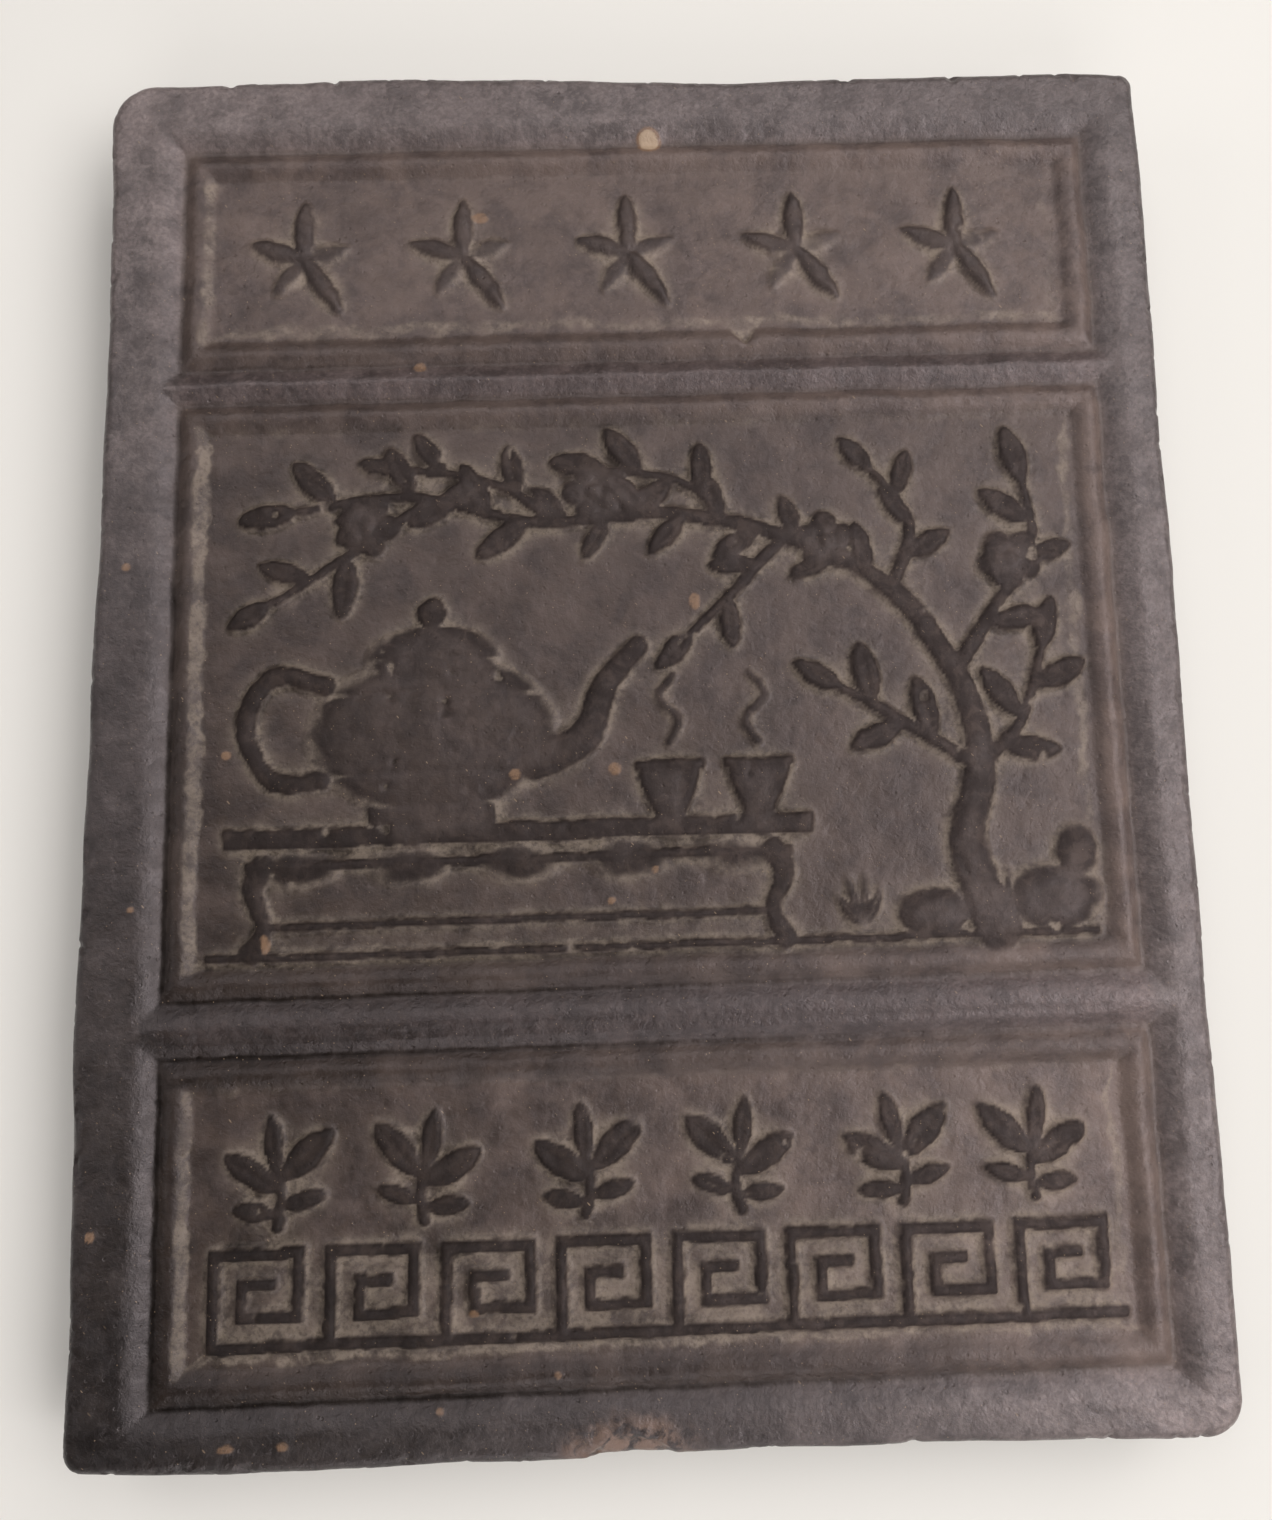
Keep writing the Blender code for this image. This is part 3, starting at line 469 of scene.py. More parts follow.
def press_box(raster, low, high, height):
    """A flat raised rectangle with rounded shoulders."""
    window, x, y = raster.part(low, high)
    raster.lift(window, shoulder(within(x, y, low, high), height, 0.9))


def press_dome(raster, centre, half_size, height, grooves=()):
    """A low round swelling in the middle panel, with grooves at shares of its half height."""
    centre = middle_point(*centre)
    low, high = np.subtract(centre, half_size), np.add(centre, half_size)
    window, x, y = raster.part(low, high)
    across, up = (x - centre[0]) / half_size[0], (y - centre[1]) / half_size[1]
    swell = np.clip(1 - across**2 - up**2, 0, 1)
    dome = height * swell**0.42
    for share in grooves:
        bend = up - share - 0.10 * (1 - across**2)
        dome -= 0.30 * np.exp(-((bend * half_size[1] / 0.42) ** 2)) * ease(swell, 0.0, 0.15)
    raster.lift(window, dome)


def press_leaf(raster, base, angle, length, width, height, veined=True):
    """A pointed leaf; a veined one has a sunken midrib and faint side veins."""
    heading = math.radians(angle)
    tip = point_towards(base, angle, length)
    window, x, y = raster.part(np.minimum(base, tip) - width / 2, np.maximum(base, tip) + width / 2)
    x, y = x - base[0], y - base[1]
    along = (x * math.cos(heading) + y * math.sin(heading)) / length
    aside = -x * math.sin(heading) + y * math.cos(heading)
    reach = np.sqrt(np.clip(4 * along * (1 - along), 0, 1))
    half_width = width / 2 * reach ** (1 + LEAF_POINTEDNESS)
    inside = half_width - np.abs(aside)
    leaf = shoulder(inside, height, 0.9 if veined else 1.6)
    if veined:
        leaf -= MIDRIB_DEPTH * np.exp(-((aside / 0.30) ** 2)) * ease(inside, 0.1, 0.6)
        veins = np.abs(np.sin((along * length - np.abs(aside) * 0.9) * 2.6))
        leaf -= VEIN_DEPTH * (1 - veins) ** 2 * ease(inside, 0.1, 0.6)
    raster.lift(window, leaf)


def press_stars(raster):
    """Five worn stars, each of five lens-shaped arms that start just behind its middle."""
    for x, turn in zip(STAR_PLACES, STAR_TURNS):
        for number, (reach, height) in enumerate(zip(STAR_ARMS, STAR_HEIGHTS)):
            angle = 90 + 72 * number + turn
            base = point_towards((x, STAR_Y), angle, -STAR_ARM_OVERLAP)
            length = reach + STAR_ARM_OVERLAP
            press_leaf(raster, base, angle, length, STAR_ARM_WIDTH, height, False)


def leaf_stations(line, first_share):
    """Points along a limb for its leaves: (across, up, heading in degrees, side)."""
    steps = np.hypot(*np.diff(line[:, :2], axis=0).T)
    lengths = np.concatenate(([0.0], np.cumsum(steps)))
    total = lengths[-1]
    count = round(total * (1 - first_share) / LEAF_SPACING)
    stations = []
    for k in range(count + 1):
        reach = total * (first_share + (1 - first_share) * k / count)
        index = min(int((lengths < reach).sum()) or 1, len(line) - 1)
        before, after = line[index - 1], line[index]
        share = (reach - lengths[index - 1]) / (lengths[index] - lengths[index - 1])
        point = before + (after - before) * share
        heading = math.degrees(math.atan2(after[1] - before[1], after[0] - before[0]))
        side = 0 if k == count else (1 if k % 2 else -1)
        stations.append((point[0], point[1], heading, side))
    return stations


def press_curve(raster, knots, height, grain=0.0, step=1.0):
    """A ridge along a smooth line through knots that count from the middle panel's centre."""
    line = smooth_line(knots, step) + np.array((MIDDLE_X, MIDDLE_Y, 0.0))
    press_stroke(raster, line, height, grain)


def press_bar(raster, box, height):
    """A raised rectangle, its sides counted from the middle panel's centre."""
    left, low, right, high = box
    press_box(raster, middle_point(left, low), middle_point(right, high), height)


def press_tree(raster):
    """The trunk and boughs with their leaves."""
    dice = random.Random(LEAF_SEED)
    for knots in (TRUNK, *BOUGHS):
        press_curve(raster, knots, LIMB_HEIGHT, BARK_DEPTH, 2.0)
        leafless = TRUNK_LEAFLESS if knots is TRUNK else BOUGH_LEAFLESS
        for across, up, heading, side in leaf_stations(smooth_line(knots, LIMB_STEP), leafless):
            longer, wider, higher = (1 + LEAF_UNEVENNESS * dice.uniform(-1, 1) for _ in range(3))
            base, angle = middle_point(across, up), heading + side * LEAF_SPREAD * wider
            length = LEAF_LENGTH * longer
            press_leaf(raster, base, angle, length, length * LEAF_SLIMNESS, LEAF_HEIGHT * higher)


def press_blossoms(raster):
    """Round blossoms of five petals with a raised heart."""
    for number, blossom in enumerate(BLOSSOMS):
        for petal in range(PETALS):
            angle = 90 + 360 / PETALS * petal + 17 * number
            centre = point_towards(blossom, angle, PETAL_REACH)
            press_dome(raster, centre, (PETAL_RADIUS,) * 2, PETAL_HEIGHT)
        press_dome(raster, blossom, (HEART_RADIUS,) * 2, HEART_HEIGHT)


def press_table(raster):
    """The long low table with its moulding, apron, scallops, legs and stretcher."""
    for box in TABLE_BARS:
        press_bar(raster, box, TABLE_BAR_HEIGHT)
    left, low, right, _ = TABLE_BARS[1]
    width = (right - left) / SCALLOPS
    for number in range(SCALLOPS):
        centre = (left + width * (number + 0.5), low + 0.6)
        press_dome(raster, centre, (width * 0.40, SCALLOP_DROP), SCALLOP_HEIGHT)
    for outward, foot in zip((-1, 1), TABLE_LEGS):
        knots = [(foot + outward * shift, up, width) for shift, up, width in LEG_LINE]
        press_curve(raster, knots, TABLE_BAR_HEIGHT)


def press_teapot(raster):
    """The round teapot with lid, knob, spout, handle and foot."""
    for knots in (SPOUT, POT_HANDLE):
        press_curve(raster, knots, SPOUT_HEIGHT)
    press_bar(raster, POT_FOOT, POT_FOOT_HEIGHT)
    for dome in POT_DOMES:
        press_dome(raster, *dome)


def cup_outline(across):
    """A cup seen from the side."""
    wall = []
    for k in range(CUP_OUTLINE_STEPS + 1):
        share = k / CUP_OUTLINE_STEPS
        spread = (CUP_TOP_HALF_WIDTH - CUP_BASE_HALF_WIDTH) * math.sin(share * math.pi / 2)
        wall.append((CUP_BASE_HALF_WIDTH + spread, CUP_FLOOR + (CUP_RIM - CUP_FLOOR) * share))
    right = [middle_point(across + half, up) for half, up in wall]
    left = [middle_point(across - half, up) for half, up in reversed(wall)]
    return right + left


def press_cups(raster):
    """Two cups, each with a curl of steam."""
    for lean, across in zip((1, -1), CUPS):
        press_plate(raster, cup_outline(across), CUP_HEIGHT)
        half = CUP_TOP_HALF_WIDTH + 0.5
        lip = (across - half, CUP_RIM - 1.7, across + half, CUP_RIM + 0.3)
        press_bar(raster, lip, CUP_LIP_HEIGHT)
        knots = [(across + lean * shift, up, width) for shift, up, width in STEAM]
        press_curve(raster, knots, STEAM_HEIGHT)


def press_foot_of_tree(raster):
    """Stones and tufts of grass."""
    for across, up, half_x, half_y in STONES:
        press_dome(raster, (across, up), (half_x, half_y), STONE_HEIGHT)
    for across in GRASS_TUFTS:
        base = middle_point(across, GRASS_FLOOR)
        for lean in GRASS_LEANS:
            length = GRASS_LENGTH * (1 - abs(lean) / 120)
            press_leaf(raster, base, 90 - lean, length, GRASS_WIDTH, GRASS_HEIGHT)


def press_sprigs(raster):
    """Six upright sprigs of tea, every second one mirrored."""
    for number, (x, lean) in enumerate(zip(SPRIG_PLACES, SPRIG_LEANS)):
        mirror = -1 if number % 2 else 1
        turn = math.radians(lean)

        def place(across, up, x=x, mirror=mirror, turn=turn):
            across = mirror * across
            return (
                x + across * math.cos(turn) - up * math.sin(turn),
                SPRIG_Y + across * math.sin(turn) + up * math.cos(turn),
            )

        line = np.array([(*place(p[0], p[1]), p[2]) for p in smooth_line(SPRIG_STEM, 1.0)])
        press_stroke(raster, line, SPRIG_STEM_HEIGHT)
        for across, up, angle, length, width in SPRIG_LEAVES:
            heading = lean + (angle if mirror > 0 else 180 - angle)
            press_leaf(raster, place(across, up), heading, length, width, SPRIG_LEAF_HEIGHT)


def press_fret(raster):
    """The key fret: a base rail with one square hook a repeat."""
    half = FRET_STROKE / 2
    right = FRET_LEFT + FRET_PITCH * FRET_REPEATS
    low = (MIDDLE_X + FRET_LEFT - half, FRET_LOW - half)
    high = (MIDDLE_X + right - half, FRET_LOW + half)
    press_box(raster, low, high, FRET_HEIGHT)
    for number in range(FRET_REPEATS):
        corner = np.array((MIDDLE_X + (FRET_LEFT + FRET_PITCH * number), FRET_LOW))
        for ends in zip(FRET_HOOK, FRET_HOOK[1:]):
            low, high = corner + np.min(ends, 0) - half, corner + np.max(ends, 0) + half
            press_box(raster, low, high, FRET_HEIGHT)


# The upper face's heights and masks


def panel_inset(raster):
    """How far each point lies inside the nearest panel's opening, negative outside."""
    insets = [
        within(raster.frame_x, raster.frame_y, (PANEL_LEFT, low), (PANEL_RIGHT, high))
        for low, high in (TOP_PANEL, MIDDLE_PANEL, BOTTOM_PANEL)
    ]
    return np.maximum.reduce(insets)


def wear_down(raster):
    """Thin the relief unevenly, as where tea didn't fill the mould or was rubbed off."""
    x, y = raster.x, raster.y
    fill = 0.92 + 0.24 * cloud(x, y, 20.0, 21, 2) + 0.22 * cloud(x, y, 4.0, 22, 3)
    lost = ease(cloud(x, y, 5.0, 23, 3), 0.34, 0.62)
    return raster.relief * np.clip(fill - 0.55 * lost, 0.25, 1.05)


def oval_distance(raster, centre, half_size):
    """How far from an oval's middle each point lies, 1 being its edge."""
    across = (raster.loose_x - centre[0]) / half_size[0]
    up = (raster.loose_y - centre[1]) / half_size[1]
    return np.hypot(across, up)


def by_panel(y, bottom, middle, top):
    """A value for each panel, going over into the next one's on the bars."""
    return np.interp(y, PANEL_CHANGES, (bottom, middle, middle, top))


def by_side(run, rise, across, up):
    """A value that changes from side to side, each pair being its middle and its change."""
    return np.abs(run) * (across[0] + across[1] * run) + np.abs(rise) * (up[0] + up[1] * rise)


def inner_part(raster):
    """1 on the panels and the bars between them, 0 on the outer border."""
    low, high = (PANEL_LEFT, BOTTOM_PANEL[0]), (PANEL_RIGHT, TOP_PANEL[1])
    return ease(within(raster.frame_x, raster.frame_y, low, high), 0.0, 5.0)


def sheen_and_bloom_over(raster, inset, raised):
    """How far painted sheen and a pale bloom lighten each place, as a power of e; patchy where
    thin.
    """
    across, up = 2 * raster.x / BRICK_WIDTH, 2 * raster.y / BRICK_LENGTH
    border, bead, ground = (
        middle + right * across + top * up + both * across * up
        for middle, right, top, both in (BORDER_SHEEN_AND_BLOOM, BEAD_SHEEN_AND_BLOOM, GROUND_SHEEN_AND_BLOOM)
    )
    # Less painted sheen on the bars and on the shoulders at the lower left, more at the lower right
    border -= 0.22 * (1 - ease(np.abs(raster.x), 70, 84)) * (1 - ease(np.abs(raster.y), 70, 100))
    border += 0.2 * (across + 0.4) * ease(-up, 0.86, 0.94)
    border -= 0.45 * ease(inset, -1.5, 0.5) * np.clip(-(across + up) / 2, 0, 1)
    # More painted sheen and bloom on the ground of the top and bottom panels than of the middle one
    ground += by_panel(raster.y, 0.42, 0.0, 0.40) * (1 - raised)
    level = border + (bead - border) * ease(inset, 1.8, 3.8)
    level += (ground - level) * ease(inset, 6.5, 8.5)
    patchiness = np.clip(0.52 - 0.32 * (across + up), 0.15 + 0.2 * ease(inset, 6.5, 8.5), 1.0)
    return level + patchiness * cloud(raster.x, raster.y, 9.0, 91, 4, 0.65)


def frame_height(raster, inset, wall, motifs, notch):
    """The recesses with their beads and motifs, and the step on the lower bar."""
    bead = np.sin(np.interp(inset, BEAD_INSETS, (0.0, np.pi / 2, 0.0)))
    bead *= BEAD_HEIGHT * (0.98 + 0.16 * cloud(raster.x, raster.y, 14.0, 25, 3))
    bead *= 1 - notch
    height = np.maximum(motifs, bead) - RECESS_DEPTH * wall
    slope = np.interp(raster.frame_y, BAR_STEP_EDGES, (0.0, BAR_STEP_DROP, 0.0))
    height -= slope * (1 - ease(np.abs(raster.x), *BAR_STEP_ENDS))
    return raster.blurred(height, PRESS_SOFTNESS)


def roughen(raster, height, wall, scuff):
    """Add slow swell, lumps, crumb and pits to the height, and fibres where it is scuffed."""
    x, y = raster.x, raster.y
    height += SWELL_HEIGHT * cloud(x, y, 30.0, 51, 2)
    height += (LUMP_HEIGHTS[0] + LUMP_HEIGHTS[1] * wall) * cloud(x, y, 6.5, 53, 2)
    height += CRUMB_HEIGHT * cloud(x, y, 2.2, 52, 4, 0.65)
    height -= PIT_DEPTH * np.clip(-cloud(x, y, 1.6, 54, 2) - 0.38, 0, 1)
    height -= FIBRE_DEPTH * scuff * np.clip(lumps(x, y * 0.35, 1.3, 55) + 0.2, 0, 1)


def speck_mask(raster):
    """Where the listed stalks and grit lie, and how pale they are."""
    specks = np.zeros_like(raster.x)
    for x, y, half_x, half_y, paleness in SPECKS:
        off_middle = oval_distance(raster, (x, y), (half_x, half_y))
        specks = np.maximum(specks, paleness * (1 - ease(off_middle, 0.7, 1.3)))
    return specks


def dust_mask(raster, inset, raised, notch):
    """Dust in the corners round what stands up, and drifted against the beads' inner sides."""
    corners = 1.1 * raster.blurred(raised, 0.9) + 0.7 * raster.blurred(raised, 2.4)
    corners *= (1 - raised) * ease(inset, 6.5, 8.0)
    rise, run = np.gradient(raster.blurred(inset, 0.5), RASTER_STEP)
    drift = by_side(run, rise, *DRIFT_AMOUNTS)
    drift *= 1 + 1.2 * cloud(raster.x, raster.y, 5.0, 26, 3)
    off_line = np.abs(inset - by_side(run, rise, *DRIFT_INSETS))
    drift *= 1 - ease(off_line, DRIFT_CORE, by_panel(raster.y, 1.2, 1.6, 1.6))
    drift *= by_panel(raster.y, 0.8, 1.0, 0.42)
    return np.clip(np.maximum(corners, drift * (1 - raised)) + notch, 0, 1)


def face_heights(raster):
    """Heights of the upper face below the border, in millimetres, and its masks."""
    inset = panel_inset(raster)
    wall = np.clip((inset + WALL_SHOULDER) / (WALL_RUN + WALL_SHOULDER), 0, 1) ** WALL_CURVE
    notch = ease(near_outline(raster.loose_x, raster.loose_y, CHIP_CORNERS), -0.3, 0.5)
    motifs = wear_down(raster)
    height = frame_height(raster, inset, wall, motifs, notch)
    flake = oval_distance(raster, FLAKE_PLACE, FLAKE_HALF_SIZE)
    height -= FLAKE_DEPTH * np.sqrt(np.clip(1 - flake**2, 0, 1))
    scuff = 1 - ease(flake + 0.5 * cloud(raster.x, raster.y, 3.0, 24), 0.7, 2.1)
    roughen(raster, height, wall, scuff)
    specks = speck_mask(raster)
    height += SPECK_HEIGHT * specks

    # What stands up is darker, but less so on broad tops and in the top panel
    raised = ease(motifs, 0.25, 0.80)
    broad = ease(raster.blurred(raised, 2.0), 0.70, 0.97)
    return {
        "height": height,
        "sunken": ease(inset, 1.6, 3.6),
        "raised": raised * by_panel(raster.y, 1.0, 1.0, 0.5) * (1 - 0.5 * broad),
        "foot": dust_mask(raster, inset, raised, notch),
        # How far each place lies below its surroundings: the creases that get painted shade
        "hollow": raster.blurred(height, 0.9) - height,
        "scuff": scuff,
        "speck": specks,
        # Painted sheen, partly a pale bloom, over the whole face
        "sheen_and_bloom": sheen_and_bloom_over(raster, inset, raised),
        "inner": inner_part(raster),
    }


# The mesh


def new_object(name, data):
    """A new object in the scene for a mesh, a light or a camera."""
    thing = bpy.data.objects.new(name, data)
    bpy.context.scene.collection.objects.link(thing)
    return thing


def side_offset(side, share):
    """How far one side stands out from its straight line, at a share of its length."""
    depth, period, start = SIDE_BOWS[side]
    fade = min(1.0, share / CORNER_FADE, (1.0 - share) / CORNER_FADE)
    bow = depth * math.sin(2 * math.pi * (share - start) / period)
    along = (side + share) / 4
    crumble = sum(math.sin(waves * along * 2 * math.pi + waves) for waves in CRUMBLE_WAVES)
    return fade * (bow + CRUMBLE_DEPTH * crumble)


class Rim:
    """The loops between the face's square grid and the brick's rounded, uneven outline."""

    def __init__(self):
        self.half = np.array((BRICK_WIDTH, BRICK_LENGTH)) / 2
        coarse_cells = 2 * (self.half - RIM_WIDTH) / GRID_STEP / UNDERSIDE_COARSENESS
        self.columns, self.rows = (UNDERSIDE_COARSENESS * round(cells) for cells in coarse_cells)
        self.corners = np.array([(1.0, -1.0), (1.0, 1.0), (-1.0, 1.0), (-1.0, -1.0)])
        spans = np.roll(self.corners, -1, axis=0) - self.corners
        sizes = (self.rows, self.columns) * 2
        self.starts = np.cumsum((0, *sizes[:3]))
        stops = [(side, k, size) for side, size in enumerate(sizes) for k in range(size)]
        self.square = np.array([self.corners[i] + spans[i] * k / size for i, k, size in stops])
        self.offsets = np.array([side_offset(side, k / size) for side, k, size in stops])
        points, normals = self.loop(1.0)
        points = points + normals * self.offsets[:, None]
        low, high = points.min(0), points.max(0)
        self.middle = (low + high) / 2
        self.scale = 2 * self.half / (high - low)

    def loop(self, share):
        """Points and outward normals of the plain rounded rectangle at a share of the rim."""
        half = self.half - RIM_WIDTH * (1.0 - share)
        points = self.square * half
        normals = np.where(np.abs(self.square) > 1 - 1e-9, self.square, 0.0)
        for signs, radius in zip(self.corners, CORNER_RADII):
            centre = signs * (half - radius * share)
            arm = points - centre
            here = ((arm * signs) >= 0).all(1) & (radius * share > 0)
            length = np.linalg.norm(arm, axis=1)
            here &= length > 0
            normals[here] = arm[here] / length[here, None]
            points[here] = centre + normals[here] * radius * share
        return points, normals / np.linalg.norm(normals, axis=1)[:, None]

    def placed(self, inset):
        """The uneven loop at a distance inside the outline, with its normals."""
        share = 1.0 - inset / RIM_WIDTH
        points, normals = self.loop(share)
        points = points + normals * (self.offsets * share)[:, None]
        points = (points - self.middle * share) * (1.0 + (self.scale - 1.0) * share)
        return points, normals


def loop_quads(first, second):
    """Quads between two loops, each given by its vertices' indices."""
    return np.stack((first, second, np.roll(second, -1), np.roll(first, -1)), axis=1)


def plane_grid(half, columns, rows, first):
    """A flat grid whose vertices count from first: x, y, quads, and the vertices on its edge."""
    x, y = np.meshgrid(
        np.linspace(-1, 1, columns + 1) * half[0], np.linspace(-1, 1, rows + 1) * half[1]
    )
    index = first + np.arange(x.size).reshape(rows + 1, columns + 1)
    cells = (index[:-1, :-1], index[:-1, 1:], index[1:, 1:], index[1:, :-1])
    edge = np.concatenate((index[:-1, -1], index[-1, :0:-1], index[:0:-1, 0], index[0, :-1]))
    return x, y, np.stack(cells, axis=-1).reshape(-1, 4), edge


def build_face(rim, raster, height):
    """The face: a square grid, and loops from its edge out to the outline; points and quads."""
    count = len(rim.square)
    x, y, cells, previous = plane_grid(rim.half - RIM_WIDTH, rim.columns, rim.rows, 0)
    points = [np.column_stack((x.ravel(), y.ravel()))]
    insets = [np.full(x.size, RIM_WIDTH)]
    quads = [cells]
    for number, inset in enumerate(RIM_INSETS):
        points.append(rim.placed(inset)[0])
        insets.append(np.full(count, inset))
        following = x.size + number * count + np.arange(count)
        quads.append(loop_quads(previous, following))
        previous = following

    # Heights: the raster's, less the rounding and the small bites towards the outline
    x, y = np.concatenate(points).T
    inset = np.concatenate(insets)
    rounding = EDGE_ROUNDING * (1 + 0.30 * cloud(x, y, 11.0, 61, 3))
    reach = np.clip(rounding - inset, 0, None)
    drop = rounding - np.sqrt(np.clip(rounding**2 - reach**2, 0, None))
    bites = np.clip(cloud(x, y, 3.2, 62, 3) - 0.22, 0, 1)
    drop += BITE_DEPTH * bites * (1 - ease(inset, 0.3, 3.2))
    z = BRICK_THICKNESS + raster.sample(height, x, y) - drop
    return np.column_stack((x, y, z)), np.concatenate(quads)


def build_sides(rim, top):
    """The rough side walls below the face's outline, down to the rounded foot, loop by loop."""
    outline, normals = rim.placed(0.0)
    steps = np.linalg.norm(np.diff(outline, axis=0), axis=1)
    perimeter = np.concatenate(([0.0], np.cumsum(steps)))
    loops = []
    for row in range(1, WALL_ROWS + 1):
        share = row / WALL_ROWS
        z = top + (FOOT_ROUNDING - top) * share
        rough = 0.24 * cloud(perimeter, z, 2.6, 71, 3, 0.6) + 0.08 * cloud(perimeter, z, 9.0, 72)
        layers = 0.06 * lumps(perimeter * 0.12, z, 1.1, 73)
        push = (rough + layers - 0.10) * ease(share, 0.0, 0.12)
        loops.append(np.column_stack((outline + normals * push[:, None], z)))
    for step in range(1, FOOT_STEPS + 1):
        turn = math.pi / 2 * step / FOOT_STEPS
        points, _ = rim.placed(FOOT_ROUNDING * (1 - math.cos(turn)))
        points = points + normals * (push * (1 - step / FOOT_STEPS))[:, None]
        z = np.full(len(points), FOOT_ROUNDING * (1 - math.sin(turn)))
        loops.append(np.column_stack((points, z)))
    return loops, perimeter


def build_underside(rim, outer, first):
    """A coarse grid, reached by a strip that takes four edges to one: points and faces."""
    coarse = UNDERSIDE_COARSENESS
    size = rim.half - (FOOT_ROUNDING + UNDERSIDE_INSET)
    x, y, cells, inner = plane_grid(size, rim.columns // coarse, rim.rows // coarse, first)
    z = 0.05 * (1 + lumps(x, y, 12.0, 81)) * 0.5
    faces = []
    half = coarse // 2
    for k, (here, ahead) in enumerate(zip(inner, np.roll(inner, -1))):
        f = [outer[(coarse * k + j) % len(outer)] for j in range(coarse + 1)]
        faces += [(f[j], here, f[j + 1]) for j in range(half)]
        faces.append((f[half], here, ahead))
        faces += [(f[j], ahead, f[j + 1]) for j in range(half, coarse)]
    faces += cells[:, (0, 3, 2, 1)].tolist()
    return np.column_stack((x.ravel(), y.ravel(), z.ravel())), faces


def build_brick(raster, masks):
    """One closed mesh: relief face, rounded edges, rough sides and plain underside."""
    rim = Rim()
    count = len(rim.square)
    face, face_quads = build_face(rim, raster, masks["height"])
    sides, perimeter = build_sides(rim, face[-count:, 2])
    start = len(face) - count
    loops = start + np.arange((len(sides) + 1) * count).reshape(-1, count)
    side_quads = [loop_quads(upper, lower) for upper, lower in zip(loops, loops[1:])]
    total = len(face) + len(sides) * count
    under, under_faces = build_underside(rim, loops[-1], total)

    vertices = np.concatenate((face, *sides, under))
    quads = np.concatenate((face_quads, *side_quads))
    mesh = bpy.data.meshes.new(BRICK_NAME)
    mesh.from_pydata((vertices * MM).tolist(), [], quads.tolist() + under_faces)
    brick = new_object(BRICK_NAME, mesh)
    mesh.polygons.foreach_set("use_smooth", np.ones(len(mesh.polygons), bool))
    add_masks(mesh, raster, masks, vertices, len(face))
    add_map(mesh, vertices, rim, len(face_quads), len(side_quads) * count, perimeter)
    mesh.update()
    return brick


def add_masks(mesh, raster, masks, vertices, top_vertices):
    """Store the face's masks on the mesh; they are zero on the sides and the underside."""
    x, y = vertices[:, 0], vertices[:, 1]
    on_top = np.arange(len(vertices)) < top_vertices
    for name in FACE_MASKS:
        values = np.where(on_top, raster.sample(masks[name], x, y), 0.0)
        layer = mesh.attributes.new(name, "FLOAT", "POINT")
        layer.data.foreach_set("value", values.astype(np.float32))


def add_map(mesh, vertices, rim, top_faces, side_faces, perimeter):
    """A flat map: the face takes most of it, the sides and the underside a strip beside it."""
    span = BRICK_LENGTH + 2 * MAP_MARGIN
    corners = np.zeros(len(mesh.loops), np.int32)
    mesh.loops.foreach_get("vertex_index", corners)
    points = vertices[corners]
    face_map = (points[:, :2] + rim.half + MAP_MARGIN) / span
    top_corners = 4 * top_faces
    side_corners = 4 * side_faces

    # The sides: four upright bands
    count = len(rim.square)
    place = (np.arange(side_corners) // 4) % count
    ahead = np.isin(np.arange(side_corners) % 4, (2, 3))
    side = np.searchsorted(rim.starts, place, side="right") - 1
    length = np.append(perimeter, perimeter[-1] + GRID_STEP)
    along = length[place + ahead] - length[rim.starts[side]]
    block = slice(top_corners, top_corners + side_corners)
    height = points[block, 2] + np.where(points[block, 2] < 0.01, -FOOT_ROUNDING, 0.0)
    height = (height + FOOT_ROUNDING) * MAP_SIDE_SCALE / span
    face_map[block, 0] = MAP_STRIP + MAP_BAND * side + height
    face_map[block, 1] = 0.005 + along * MAP_SIDE_SCALE / span

    # The underside above them
    rest = slice(top_corners + side_corners, None)
    spread = (points[rest, :2] + rim.half) * MAP_UNDERSIDE_SCALE / span
    face_map[rest] = spread + (MAP_STRIP, 0.52)
    layer = mesh.uv_layers.new(name="OFBake")
    layer.data.foreach_set("uv", face_map.astype(np.float32).ravel())


# Materials


